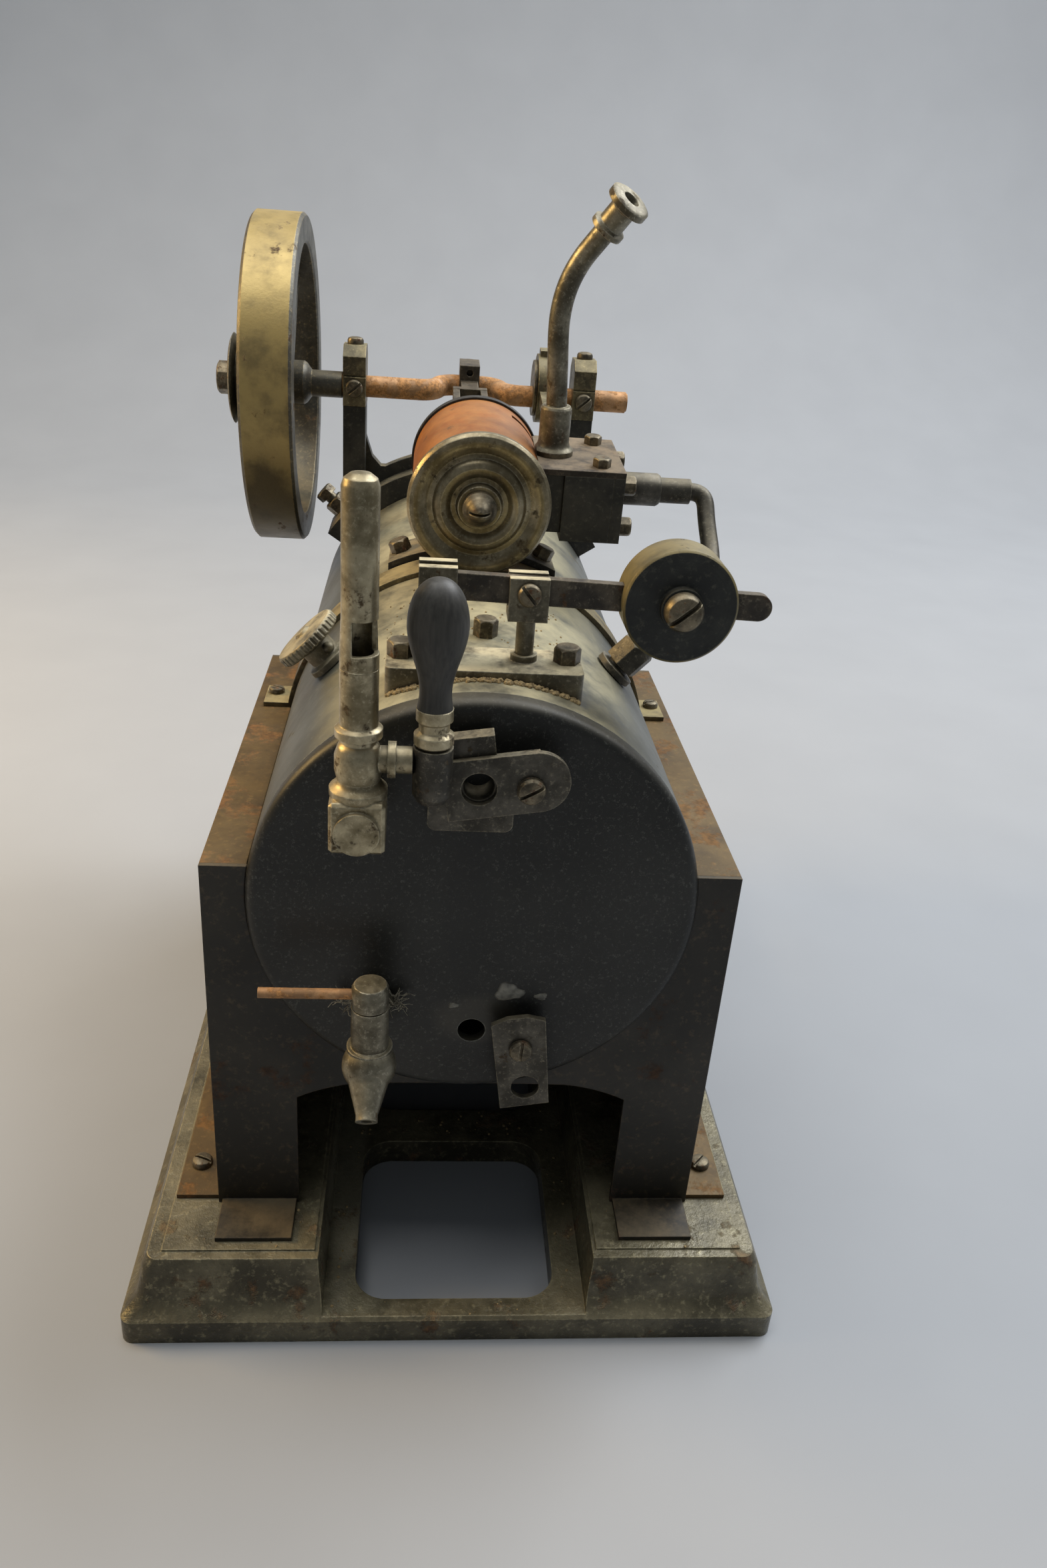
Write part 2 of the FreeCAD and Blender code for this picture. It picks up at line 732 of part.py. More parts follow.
sheave_x0 = valve_x - sheave_width / 2
sheave = turned(
    [
        (0, 0),
        (sheave_radius + 1.1, 0),
        (sheave_radius + 1.1, 1.0),
        (sheave_radius, 1.0),
        (sheave_radius, sheave_width - 1.0),
        (sheave_radius + 1.1, sheave_width - 1.0),
        (sheave_radius + 1.1, sheave_width),
        (0, sheave_width),
    ],
    V(sheave_x0, 0, valve_throw),
    X_AXIS,
)
sheave = sheave.cut(rod(shaft_fit, 20, V(sheave_x0 - 5, 0, 0), X_AXIS))
keep("eccentric_sheave", engine(sheave))

# ---------------------------------------------------------------- connecting rod
pin_y = crank_throw
big_bolt = big_end_half_height - 2.4
rod_end_y = pin_y - rod_length
front_half = block(-big_end_half_width, big_end_half_width, pin_y - big_end_reach, pin_y,
                   -big_end_half_height, big_end_half_height)
shank_end_y = pin_y - shank_length
fork_outer = fork_gap / 2 + tine
shank = block(-2.9, 2.9, shank_end_y, pin_y - big_end_reach + 0.5, -2.9, 2.9)
yoke = block(-fork_outer, fork_outer, shank_end_y, shank_end_y + 3.0, -2.9, 2.9)
fork = block(-fork_outer, fork_outer, rod_end_y, shank_end_y + 1.0, -2.7, 2.7)
fork = fork.fuse(rod(3.3, 2 * fork_outer, V(-fork_outer, rod_end_y, 0), X_AXIS))
fork = fork.cut(block(-fork_gap / 2, fork_gap / 2, rod_end_y - 6, shank_end_y, -6, 6))
fork = fork.fuse(yoke)
fork = fork.cut(rod(1.6, 30, V(-15, rod_end_y, 0), X_AXIS))
con_rod = front_half.fuse(shank).fuse(fork)
con_rod = con_rod.cut(rod(shaft_radius + running, 20, V(-10, pin_y, 0), X_AXIS))
for side in (-1, 1):
    con_rod = con_rod.cut(rod(1.1 + snug, 20, V(0, pin_y - big_end_reach - 1, side * big_bolt), Y_AXIS))
keep("connecting_rod", engine(con_rod.removeSplitter()))

cap = block(-big_end_half_width, big_end_half_width, pin_y + snug, pin_y + 5.2,
            -big_end_half_height, big_end_half_height)
cap = cap.cut(rod(shaft_radius + running, 20, V(-10, pin_y, 0), X_AXIS))
for side in (-1, 1):
    bolt = rod(1.1, 9.5, V(0, pin_y - 4.0, side * big_bolt), Y_AXIS)
    bolt = bolt.fuse(hexagon(4.2, 2.2, V(0, pin_y + 5.0, side * big_bolt), Y_AXIS))
    cap = cap.fuse(bolt)
keep("big_end_cap", engine(cap.removeSplitter()))

# ---------------------------------------------------------------- piston group
# At rest the piston is at the end of its stroke nearest the shaft.
crosshead_y = rod_end_y
piston_rear = -(cylinder_rear + 4.5)
piston = rod(bore_radius - running, piston_thickness, V(0, piston_rear, 0), Y_AXIS * -1)
for step in range(2):
    groove_y = piston_rear - 2.6 - 2.4 * step
    piston = piston.cut(ring(bore_radius + 1, bore_radius - 0.8, 0.8, V(0, groove_y, 0), Y_AXIS))
piston = piston.cut(rod(piston_rod_radius + snug, 30, V(0, piston_rear + 5, 0), Y_AXIS * -1))
keep("piston", engine(piston))
piston_rod = rod(piston_rod_radius, crosshead_y - piston_rear + piston_thickness - 3.5,
                 V(0, crosshead_y - 3.0, 0), Y_AXIS * -1)
half_cross = crosshead_width / 2
crosshead = block(-half_cross, half_cross, crosshead_y - 5.0, crosshead_y, -3.4, 3.4)
crosshead = crosshead.fuse(rod(3.4, crosshead_width, V(-half_cross, crosshead_y, 0), X_AXIS))
crosshead = crosshead.cut(ring(1.75, 1.45, 0.5, V(half_cross - 0.5, crosshead_y, 0), X_AXIS))
crosshead = crosshead.cut(ring(1.75, 1.45, 0.5, V(-half_cross, crosshead_y, 0), X_AXIS))
keep("piston_rod", engine(piston_rod.fuse(crosshead).removeSplitter()))

# ---------------------------------------------------------------- cylinder
body = rod(cylinder_radius, cylinder_front - cylinder_rear, V(0, -cylinder_rear, 0), Y_AXIS * -1)
port_block = block(cylinder_radius - 4, port_face, -chest_front + 1, -chest_rear - 1, -8.5, chest_top)
body = body.fuse(port_block)
cylinder_casting = engine(body)
foot_y0 = strap_front + strap_width + 0.6
foot_y1 = foot_y0 + 17.0
pedestal = block(-9.5, 9.5, foot_y0 + 2.0, foot_y1 - 2.0, boiler_axis_height + boiler_radius - 2, shaft_height - 12)
foot_plate = boiler_solid(3.0, foot_y0, foot_y1)
foot_plate = foot_plate.common(block(-23.5, 23.5, foot_y0, foot_y1, boiler_axis_height + 30, 200))
keep_out = engine(rod(lagging_radius + 0.3, 60, V(0, -cylinder_rear + 10, 0), Y_AXIS * -1))
inner_part = engine(rod(cylinder_radius + 0.2, 60, V(0, -cylinder_rear + 10, 0), Y_AXIS * -1))
pedestal = pedestal.cut(keep_out.cut(inner_part).common(block(-40, -9.6, 0, 220, 0, 220)))
cylinder_casting = cylinder_casting.fuse(pedestal).fuse(foot_plate)
cylinder_casting = cylinder_casting.cut(boiler_solid(snug, foot_y0 - 1, foot_y1 + 1))
hollow = engine(rod(bore_radius, 60, V(0, -cylinder_rear + 10, 0), Y_AXIS * -1))
cylinder_casting = cylinder_casting.cut(hollow)
for offset in (-5.5, 0, 5.5):
    slot = block(port_face - 3.6, port_face + 1, -valve_centre + offset - 0.9, -valve_centre + offset + 0.9, -3.5, 3.5)
    cylinder_casting = cylinder_casting.cut(engine(slot))
for end_y in (-cylinder_rear - 2.2, -cylinder_front + 3.0):
    side = 1 if end_y > -valve_centre else -1
    tunnel_start = V(port_face - 3.0, -valve_centre + side * 5.5, 0)
    tunnel_end = V(bore_radius - 1.5, end_y, 0)
    run = tunnel_end - tunnel_start
    cylinder_casting = cylinder_casting.cut(engine(rod(0.9, run.Length, tunnel_start, run)))
exhaust_way = rod(exhaust_bore, 12, V(exhaust_x, -valve_centre, -1.0), Z_AXIS)
cylinder_casting = cylinder_casting.cut(engine(exhaust_way))
keep("cylinder_block", cylinder_casting.removeSplitter())

lagging = ring(lagging_radius, cylinder_radius + snug, cylinder_front - cylinder_rear - ring_width - snug,
               V(0, -cylinder_front + snug, 0), Y_AXIS)
lagging = lagging.cut(block(cylinder_radius - 4.2, 30, -cylinder_front - 1, -cylinder_rear + 1, -8.8, chest_top + 0.3))
nick = block(9.0, 18.5, -cylinder_rear - 9.5, -cylinder_rear - 6.8, 8, 20)
lagging = lagging.cut(nick)
lagging = engine(lagging)
foot_zone = block(-9.8, 9.8, foot_y0 + 1.7, foot_y1 - 1.7, 150, shaft_height - 14)
lagging = lagging.cut(foot_zone)
keep("cylinder_lagging", lagging)
lag_ring = ring(ring_radius, cylinder_radius + snug, ring_width - snug, V(0, -cylinder_rear - ring_width, 0), Y_AXIS)
lag_ring = lag_ring.cut(
    block(cylinder_radius - 4.2, 30, -cylinder_front - 1, -cylinder_rear + 1, -8.8, chest_top + 0.3))
keep("lagging_ring", engine(lag_ring))

r = front_cover_radius
t = front_cover_thickness
front_cover = turned(
    [
        (0, -2.0),
        (bore_radius - 0.1, -2.0),
        (bore_radius - 0.1, 0),
        (r - 0.5, 0),
        (r, 0.6),
        (r, 2.0),
        (r - 0.7, 2.9),
        (r - 2.0, 3.2),
        (r - 3.2, 2.9),
        (r - 5.2, 1.7),
        (r - 6.4, 1.9),
        (r - 7.4, 3.2),
        (r - 8.6, 3.7),
        (r - 9.8, 3.3),
        (r - 11.2, 2.2),
        (r - 12.4, 2.3),
        (r - 13.0, t),
        (0, t),
    ],
    V(0, -cylinder_front, 0),
    Y_AXIS * -1,
)
keep("front_cover", engine(front_cover))
cover_nut = turned(
    [
        (0, 0),
        (4.4, 0),
        (4.4, 1.4),
        (3.4, 2.4),
        (2.9, 3.4),
        (1.9, 5.0),
        (0.9, 5.8),
        (0, 5.9),
    ],
    V(0, -cylinder_front - t, 0),
    Y_AXIS * -1,
)
cover_nut = cover_nut.cut(block(-5, 5, -cylinder_front - t - 8, -cylinder_front - t - 3.6, -0.35, 0.35))
keep("front_cover_nut", engine(cover_nut))
rear_cover = turned(
    [
        (piston_rod_radius + running, -1.6),
        (bore_radius - 0.1, -1.6),
        (bore_radius - 0.1, 0),
        (cylinder_radius, 0),
        (cylinder_radius, rear_cover_thickness - 0.6),
        (cylinder_radius - 0.6, rear_cover_thickness),
        (6.5, rear_cover_thickness),
        (5.8, rear_cover_thickness + 1.0),
        (5.8, rear_cover_thickness + 5.0),
        (piston_rod_radius + running, rear_cover_thickness + 5.0),
    ],
    V(0, -cylinder_rear, 0),
    Y_AXIS,
)
keep("rear_cover", engine(rear_cover))
gland_start = -cylinder_rear + rear_cover_thickness + 5.0
piston_gland = hexagon(8.6, 4.0, V(0, gland_start, 0), Y_AXIS)
piston_gland = piston_gland.cut(rod(piston_rod_radius + running, 20, V(0, gland_start - 5, 0), Y_AXIS))

# ---------------------------------------------------------------- valve chest
chest = block(port_face + snug, chest_side, -chest_front, -chest_rear, chest_bottom, chest_top)
cavity_x1 = chest_side + 1
cavity = block(port_face - 1, cavity_x1, -chest_front + chest_wall, -chest_rear - chest_wall,
               chest_bottom + chest_wall, chest_top - chest_wall + 0.4)
chest = chest.cut(cavity)
chest = chest.cut(rod(spindle_radius + running, 10, V(valve_x, -chest_rear - 5, 0), Y_AXIS))
keep("valve_chest", engine(chest))
valve_gland = hexagon(5.4, 5.0, V(valve_x, -chest_rear, 0), Y_AXIS)
valve_gland = valve_gland.cut(rod(spindle_radius + running, 20, V(valve_x, -chest_rear - 5, 0), Y_AXIS))
keep("gland_nuts", Part.makeCompound([engine(piston_gland), engine(valve_gland)]))

side_cover = block(chest_side + snug, chest_side + chest_cover, -chest_front, -chest_rear, chest_bottom, chest_top)
inlet_y = -valve_centre + 0.5
side_cover = side_cover.cut(rod(2.2, 10, V(chest_side - 2, inlet_y, 0), X_AXIS))
stud_spots = []
for y in (-chest_front + 4.4, -chest_rear - 4.4):
    for z in (chest_bottom + 3.4, chest_top - 3.0):
        stud_spots.append((y, z))
for y, z in stud_spots:
    side_cover = side_cover.cut(rod(1.0 + snug, 10, V(chest_side - 2, y, z), X_AXIS))
keep("chest_side_cover", engine(side_cover))
plate_x0 = exhaust_x - 5.2
lid = block(plate_x0, chest_side + chest_cover, -chest_front, -chest_rear, chest_top + snug, chest_top + top_plate)
lid = lid.cut(rod(exhaust_bore + 0.3, 10, V(exhaust_x, -valve_centre, chest_top - 2), Z_AXIS))
lid = engine(lid).cut(engine(rod(lagging_radius + 0.15, 60, V(0, -cylinder_rear + 5, 0), Y_AXIS * -1)))
lid = lid.cut(engine(rod(ring_radius + 0.15, 6, V(0, -cylinder_rear - ring_width - 0.3, 0), Y_AXIS)))
lid = lid.cut(engine(rod(front_cover_radius + 0.2, 6, V(0, -cylinder_front + 0.2, 0), Y_AXIS * -1)))
keep("chest_top_plate", lid)

studs = []
for y, z in stud_spots:
    stud = rod(1.0, 2.9, V(chest_side + 0.1, y, z), X_AXIS)
    stud = stud.fuse(hexagon(4.6, 3.4, V(chest_side + chest_cover, y, z), X_AXIS))
    studs.append(engine(stud))
lid_top = chest_top + top_plate
for y in (-chest_front + 5.2, -chest_rear - 5.2):
    lid_screw = hexagon(4.2, 2.4, V(chest_side - 3.0, y, lid_top), Z_AXIS)
    studs.append(engine(lid_screw))
keep("chest_studs", Part.makeCompound(studs))

valve = block(port_face + 0.05, port_face + 1.7, -valve_centre - 6.5, -valve_centre + 6.5, -4.6, 4.6)
valve = valve.fuse(block(port_face + 1.4, valve_x + 2.4, -valve_centre - 2.5, -valve_centre + 2.5, -2.6, 2.6))
valve = valve.cut(block(port_face - 1, port_face + 1.0, -valve_centre - 3.4, -valve_centre + 3.4, -3.4, 3.4))
valve = valve.cut(rod(spindle_radius + snug, 60, V(valve_x, -valve_centre - 30, 0), Y_AXIS))
keep("slide_valve", engine(valve))
pin_s = eccentric_rod_length
spindle = rod(spindle_radius, valve_centre + 4.5 - pin_s - 2.0, V(valve_x, -pin_s - 2.0, 0), Y_AXIS * -1)
end_block = block(valve_x - 2, valve_x + 2, -pin_s - 3.2, -pin_s, -2.5, 2.5)
end_block = end_block.fuse(rod(2.5, 4, V(valve_x - 2, -pin_s, 0), X_AXIS))
keep("valve_spindle", engine(spindle.fuse(end_block).removeSplitter()))

# ---------------------------------------------------------------- eccentric strap
strap_half = sheave_width / 2 - 1.0 - 0.12
swing = math.degrees(math.asin(valve_throw / eccentric_rod_length))
ecc = ring(sheave_radius + 3.2, sheave_radius + running, 2 * strap_half, V(valve_x - strap_half, 0, 0), X_AXIS)
lug_y = sheave_radius + 1.6
ecc_rod = block(valve_x - 1.8, valve_x + 1.8, -eccentric_rod_length + ecc_fork_depth + 1, -lug_y, -2.0, 2.0)
ecc_outer = 3.6
ecc_fork_y = -eccentric_rod_length + ecc_fork_depth
ecc_fork = block(valve_x - ecc_outer, valve_x + ecc_outer, -eccentric_rod_length, ecc_fork_y + 1.8, -2.3, 2.3)
ecc_fork = ecc_fork.fuse(rod(2.3, 2 * ecc_outer, V(valve_x - ecc_outer, -eccentric_rod_length, 0), X_AXIS))
ecc_fork = ecc_fork.cut(
    block(valve_x - 2.35, valve_x + 2.35, -eccentric_rod_length - 5, ecc_fork_y, -5, 5))
ecc_fork = ecc_fork.cut(rod(1.0, 20, V(valve_x - 10, -eccentric_rod_length, 0), X_AXIS))
lugs = block(valve_x - 1.8, valve_x + 1.8, -2.2, 2.2, sheave_radius + 2.0, sheave_radius + 5.0)
ecc = ecc.fuse(ecc_rod).fuse(ecc_fork).fuse(lugs)
ecc.rotate(V(0, 0, 0), X_AXIS, swing)
ecc.translate(V(0, 0, valve_throw))
keep("eccentric_strap", engine(ecc.removeSplitter()))

# ---------------------------------------------------------------- pipes
inlet = turned(
    [
        (2.2, 0),
        (steam_boss_radius, 0),
        (steam_boss_radius, 11.2),
        (steam_boss_radius - 0.5, 12.0),
        (3.4, 12.0),
        (3.4, 20.5),
        (2.42, 20.5),
        (2.42, 14.0),
        (2.2, 14.0),
    ],
    V(chest_side + chest_cover + snug, inlet_y, 0),
    X_AXIS,
)
keep("steam_inlet", engine(inlet))
pipe_start = engine_point(V(chest_side + chest_cover + 14.4, inlet_y, 0))
union_dir = outward(union_angle)
pipe_end = on_shell(union_angle, union_y, 6.6)
pipe_points = [
    pipe_start,
    pipe_start + V(6.3, 0, 0),
    pipe_start + V(10.8, -3.4, -4.6),
    pipe_start + V(11.4, -12.0, -13.0),
    pipe_start + V(6.0, -27.0, -19.0),
    pipe_start + V(-1.6, -38.0, -20.6),
    pipe_end + union_dir * 4.0,
    pipe_end,
]
pipe_bore = 1.5
steam_pipe = tube(pipe_points, 2.4, pipe_bore)
keep("steam_pipe", steam_pipe)
union = turned(
    [
        (1.6, 0),
        (5.2, 0),
        (5.2, 1.6),
        (3.0, 1.8),
        (3.0, 3.0),
        (1.6, 3.0),
    ],
    on_shell(union_angle, union_y, 0.25),
    union_dir,
)
union = union.fuse(ring(2.55, 1.6, 5.0, on_shell(union_angle, union_y, -3.5), union_dir))
union_nut = hexagon(8.2, 7.2, on_shell(union_angle, union_y, 2.9), union_dir)
union_nut = union_nut.cut(rod(1.6, 30, on_shell(union_angle, union_y, -5), union_dir))
union_nut = union_nut.cut(rod(2.42, 30, on_shell(union_angle, union_y, 6.58), union_dir))
union = union.fuse(union_nut).cut(boiler_solid(snug, union_y - 10, union_y + 10).cut(
    rod(2.55, 60, on_shell(union_angle, union_y, -20), union_dir)))
keep("boiler_union", union.removeSplitter())

lid_point = engine_point(V(exhaust_x, -valve_centre, lid_top))
socket = turned(
    [
        (exhaust_bore + 0.3, 0),
        (5.4, 0),
        (5.4, 1.3),
        (4.4, 2.4),
        (4.1, 3.4),
        (4.1, 12.0),
        (3.7, 12.6),
        (exhaust_bore + 0.3, 12.6),
    ],
    V(0, 0, 0),
    Z_AXIS,
)
socket = socket.cut(Part.makeBox(14, 14, 20, V(-14 - 4.6, -7, -1)))
socket = engine(socket.translated(V(exhaust_x, -valve_centre, lid_top + snug)))
socket = socket.cut(engine(rod(lagging_radius + 0.3, 60, V(0, -cylinder_rear + 5, 0), Y_AXIS * -1)))
pipe_foot = engine_point(V(exhaust_x, -valve_centre, lid_top + 12.0))
nozzle_dir = V(0.52, -0.42, 0.74)
nozzle_dir.normalize()
exhaust_points = [
    pipe_foot,
    pipe_foot + V(-0.7, -1.2, 11.0),
    pipe_foot + V(-1.2, -1.8, 21.0),
    pipe_foot + V(0.6, -2.8, 31.0),
    pipe_foot + V(4.6, -5.4, 38.6),
    pipe_foot + V(4.6, -5.4, 38.6) + nozzle_dir * 6.0,
]
exhaust = tube(exhaust_points, 2.7, exhaust_bore)
exhaust = exhaust.fuse(socket)
keep("exhaust_pipe", exhaust.removeSplitter())
nozzle_start = exhaust_points[-1] + nozzle_dir * 0.05
nozzle = turned(
    [
        (1.6, 0),
        (4.4, 0),
        (4.4, 1.3),
        (3.3, 1.8),
        (3.3, 6.4),
        (3.8, 7.0),
        (5.4, 7.4),
        (5.4, 9.0),
        (4.6, 9.4),
        (2.2, 9.4),
        (1.6, 8.0),
    ],
    nozzle_start,
    nozzle_dir,
)
keep("exhaust_nozzle", nozzle)

# ---------------------------------------------------------------- safety valve
block_y0 = 9.0
block_y1 = 24.0
valve_block = block(-valve_block_half, valve_block_half, block_y0, block_y1,
                    boiler_axis_height + 40, valve_block_top)
uprights = [e for e in valve_block.Edges if abs(e.tangentAt(e.FirstParameter).z) > 0.9]
valve_block = valve_block.makeFillet(1.5, uprights)
valve_block = valve_block.cut(boiler_solid(snug, 0, 40))
valve_block = valve_block.fuse(rod(2.9, 1.6, V(stem_x, lever_y, valve_block_top - 0.1), Z_AXIS))
slot_half = lever_thickness / 2 + 0.1
bracket_x0 = lever_pivot_x - 4.0
bracket_x1 = lever_pivot_x + 4.0
cheek = 2.3
bracket = block(bracket_x0, bracket_x1, lever_y - slot_half - cheek, lever_y + slot_half + cheek,
                valve_block_top - 0.5, lever_pivot_height + 4.4)
bracket = bracket.cut(block(bracket_x0 - 1, bracket_x1 + 1, lever_y - slot_half, lever_y + slot_half,
                            valve_block_top + 6.0, lever_pivot_height + 10))
bracket = bracket.cut(rod(1.2 + snug, 30, V(lever_pivot_x, lever_y - 15, lever_pivot_height), Y_AXIS))
valve_block = valve_block.fuse(bracket)
valve_block = valve_block.cut(rod(stem_radius + running, 20, V(stem_x, lever_y, valve_block_top - 8.0), Z_AXIS))
keep("safety_valve_block", valve_block.removeSplitter())
for side in (-1, 1):
    hex_nuts.append(hexagon(5.2, 3.6, V(side * 17.9, lever_y - 0.5, valve_block_top), Z_AXIS))
hex_nuts.append(hexagon(5.0, 4.2, on_shell(1.2, 37.0, -0.1 + 0.15), outward(1.2)))
for side in (-1, 1):
    angle = math.degrees(math.asin(side * 20.0 / (boiler_radius + 3)))
    seat = V(0, foot_y0 + 8, boiler_axis_height) + outward(angle) * (boiler_radius + 3.0)
    hex_nuts.append(hexagon(5.2, 3.4, seat, outward(angle)))
keep("hex_nuts", Part.makeCompound(hex_nuts))
cheek_front = lever_y - slot_half - cheek
slotted.append(slotted_screw(2.4, 1.7, 1.2, 2 * cheek + 2 * slot_half, V(lever_pivot_x, cheek_front,
                             lever_pivot_height), Y_AXIS * -1, 65))

arm = stem_x - lever_pivot_x
stem_pin_z = lever_pivot_height - arm * math.tan(math.radians(lever_droop))
fork_half_x = 4.2
fork_low = stem_pin_z - 6.0
fork_high = stem_pin_z + 3.3
fork_head = block(stem_x - fork_half_x, stem_x + fork_half_x, lever_y - slot_half - 2.2, lever_y + slot_half + 2.2,
                  fork_low, fork_high)
fork_head = fork_head.cut(block(stem_x - 6, stem_x + 6, lever_y - slot_half, lever_y + slot_half,
                                stem_pin_z - 4.0, fork_high + 1))
fork_head = fork_head.cut(rod(1.0 + snug, 30, V(stem_x, lever_y - 15, stem_pin_z), Y_AXIS))
stem = rod(stem_radius, fork_low + 0.5 - (valve_block_top - 5.0), V(stem_x, lever_y, valve_block_top - 5.0), Z_AXIS)
keep("valve_stem", stem.fuse(fork_head).removeSplitter())
fork_front = lever_y - slot_half - 2.2
fork_screw = slotted_screw(2.5, 1.7, 1.0, 2 * slot_half + 4.4, V(stem_x, fork_front, stem_pin_z), Y_AXIS * -1, -50)
keep("fork_screw", fork_screw)

half_bar = lever_thickness / 2
lever = block(lever_pivot_x, lever_end - lever_height / 2, lever_y - half_bar, lever_y + half_bar,
              lever_pivot_height - lever_height / 2, lever_pivot_height + lever_height / 2)
lever = lever.fuse(rod(lever_height / 2, lever_thickness, V(lever_pivot_x, lever_y - half_bar,
                                                              lever_pivot_height), Y_AXIS))
lever = lever.fuse(rod(lever_height / 2, lever_thickness, V(lever_end - lever_height / 2, lever_y - half_bar,
                                                              lever_pivot_height), Y_AXIS))
lever = lever.cut(rod(1.2 + running, 10, V(lever_pivot_x, lever_y - 5, lever_pivot_height), Y_AXIS))
pin_along = arm / math.cos(math.radians(lever_droop))
for offset in (-0.25, 0, 0.25):
    spot = V(lever_pivot_x + pin_along + offset, lever_y - 5, lever_pivot_height)
    lever = lever.cut(rod(1.0 + 0.1, 10, spot, Y_AXIS))
pivot_point = V(lever_pivot_x, lever_y, lever_pivot_height)
lever = lever.removeSplitter()
lever.rotate(pivot_point, Y_AXIS, lever_droop)
keep("safety_lever", lever)

weight_y0 = lever_y - weight_thickness / 2
weight = turned(
    [
        (0, 0),
        (weight_radius - 0.5, 0),
        (weight_radius, 0.5),
        (weight_radius, weight_thickness - 0.5),
        (weight_radius - 0.5, weight_thickness),
        (0, weight_thickness),
    ],
    V(weight_x, weight_y0, lever_pivot_height),
    Y_AXIS,
)
weight = weight.fuse(rod(4.6, 2.0, V(weight_x, weight_y0 + 0.1, lever_pivot_height), Y_AXIS * -1))
weight = weight.cut(block(weight_x - 20, weight_x + 20, lever_y - half_bar - 0.06, lever_y + half_bar + 0.06,
                          lever_pivot_height - lever_height / 2 - 0.06, lever_pivot_height + lever_height / 2 + 0.06))
weight = weight.cut(rod(1.8 + snug, 10, V(weight_x, lever_y - half_bar, lever_pivot_height), Y_AXIS * -1))
weight.rotate(pivot_point, Y_AXIS, lever_droop)
keep("lever_weight", weight)
screw_seat = V(weight_x, weight_y0 - 1.9, lever_pivot_height)
weight_screw = slotted_screw(4.1, 3.2, 1.8, lever_y - half_bar - 0.08 - (weight_y0 - 1.9), screw_seat, Y_AXIS * -1, 42)
weight_screw.rotate(pivot_point, Y_AXIS, lever_droop)
keep("weight_screw", weight_screw)

# ---------------------------------------------------------------- filler
fill_dir = outward(-shoulder_angle)
neck = turned(
    [
        (1.7, -3.0),
        (2.55, -3.0),
        (2.55, 0.25),
        (5.8, 0.25),
        (5.8, 1.7),
        (4.1, 2.2),
        (4.1, 6.0),
        (2.5, 6.0),
        (2.5, 3.0),
        (1.7, 3.0),
    ],
    on_shell(-shoulder_angle, filler_y, 0),
    fill_dir,
)
neck = neck.fuse(Part.makeSphere(1.4, on_shell(-shoulder_angle, filler_y, 4.0) + V(2.2, -3.4, 2.2)))
neck = neck.cut(rod(2.5, 5.4, on_shell(-shoulder_angle, filler_y, 3.0), fill_dir))
keep("filler_neck", neck)
cap_start = on_shell(-shoulder_angle, filler_y, 4.0)
filler_cap = turned(
    [
        (0, 0),
        (2.5 - running, 0),
        (2.5 - running, 2.3),
        (5.2, 2.3),
        (cap_radius - 0.5, 2.9),
        (cap_radius, 3.4),
        (cap_radius, 5.2),
        (cap_radius - 0.5, 5.8),
        (2.3, 6.1),
        (1.7, 6.8),
        (0, 7.0),
    ],
    cap_start,
    fill_dir,
)
across = V(0, 1, 0)
knurl_count = 36
for step in range(knurl_count):
    turn = 2 * math.pi * step / knurl_count
    side_dir = fill_dir.cross(across)
    radial = across * math.cos(turn) + side_dir * math.sin(turn)
    cutter = rod(0.42, 5.0, cap_start + fill_dir * 2.5 + radial * (cap_radius + 0.12), fill_dir)
    filler_cap = filler_cap.cut(cutter)
keep("filler_cap", filler_cap)

# ---------------------------------------------------------------- whistle
elbow_low = 136.0
elbow_high = 147.0
elbow = block(whistle_x - 5.5, whistle_x + 5.5, fittings_y - 5.5, fittings_y + 5.5, elbow_low, elbow_high)
elbow = elbow.makeChamfer(0.7, elbow.Edges)
elbow_mid = (elbow_low + elbow_high) / 2 - 0.6
elbow = elbow.fuse(rod(4.5, 1.3, V(whistle_x, fittings_y - 5.3, elbow_mid), Y_AXIS * -1))
elbow = elbow.fuse(rod(3.2, boiler_front - snug - fittings_y, V(whistle_x, fittings_y, elbow_mid), Y_AXIS))
elbow = elbow.fuse(rod(4.6, 1.4, V(whistle_x, boiler_front - snug - 1.4, elbow_mid), Y_AXIS))
window_low = 176.2
window_high = 182.8
stack = turned(
    [
        (0, -1.0),
        (5.2, -1.0),
        (5.7, 0),
        (5.7, 1.4),
        (4.6, 2.4),
        (4.2, 3.2),
        (4.7, 5.4),
        (4.7, 8.4),
        (4.0, 10.4),
        (3.4, 11.0),
        (3.4, 12.0),
        (4.6, 12.4),
        (4.6, 14.0),
        (3.7, 14.6),
        (3.7, window_low - elbow_high - 3.0),
        (0, window_low - elbow_high - 3.0),
    ],
    V(whistle_x, fittings_y, elbow_high),
    Z_AXIS,
)
pipe_height = 154.4
link = rod(2.7, handle_x - 3.9 - snug - whistle_x, V(whistle_x, fittings_y, pipe_height), X_AXIS)
link = link.fuse(rod(3.6, 1.6, V(whistle_x + 5.6, fittings_y, pipe_height), X_AXIS))
whistle_body = elbow.fuse(stack).fuse(link)
keep("whistle_body", whistle_body.removeSplitter())
bell_low = window_low - 3.0 + snug
bell = turned(
    [
        (2.7, bell_low),
        (3.7, bell_low),
        (3.7, window_low),
        (3.45, window_high),
        (3.45, 206.6),
        (3.0, 207.9),
        (1.8, 208.8),
        (0, 209.1),
        (0, 207.4),
        (2.7, 206.0),
    ],
    V(whistle_x, fittings_y, 0),
    Z_AXIS,
)
window = block(whistle_x - 1.2, whistle_x + 6, fittings_y - 6, fittings_y + 1.5, window_low, window_high)
bell = bell.cut(window)
keep("whistle_bell", bell)
cock_low = 147.5
cock_high = 157.6
valve_body = rod(3.9, cock_high - cock_low, V(handle_x, fittings_y, cock_low), Z_AXIS)
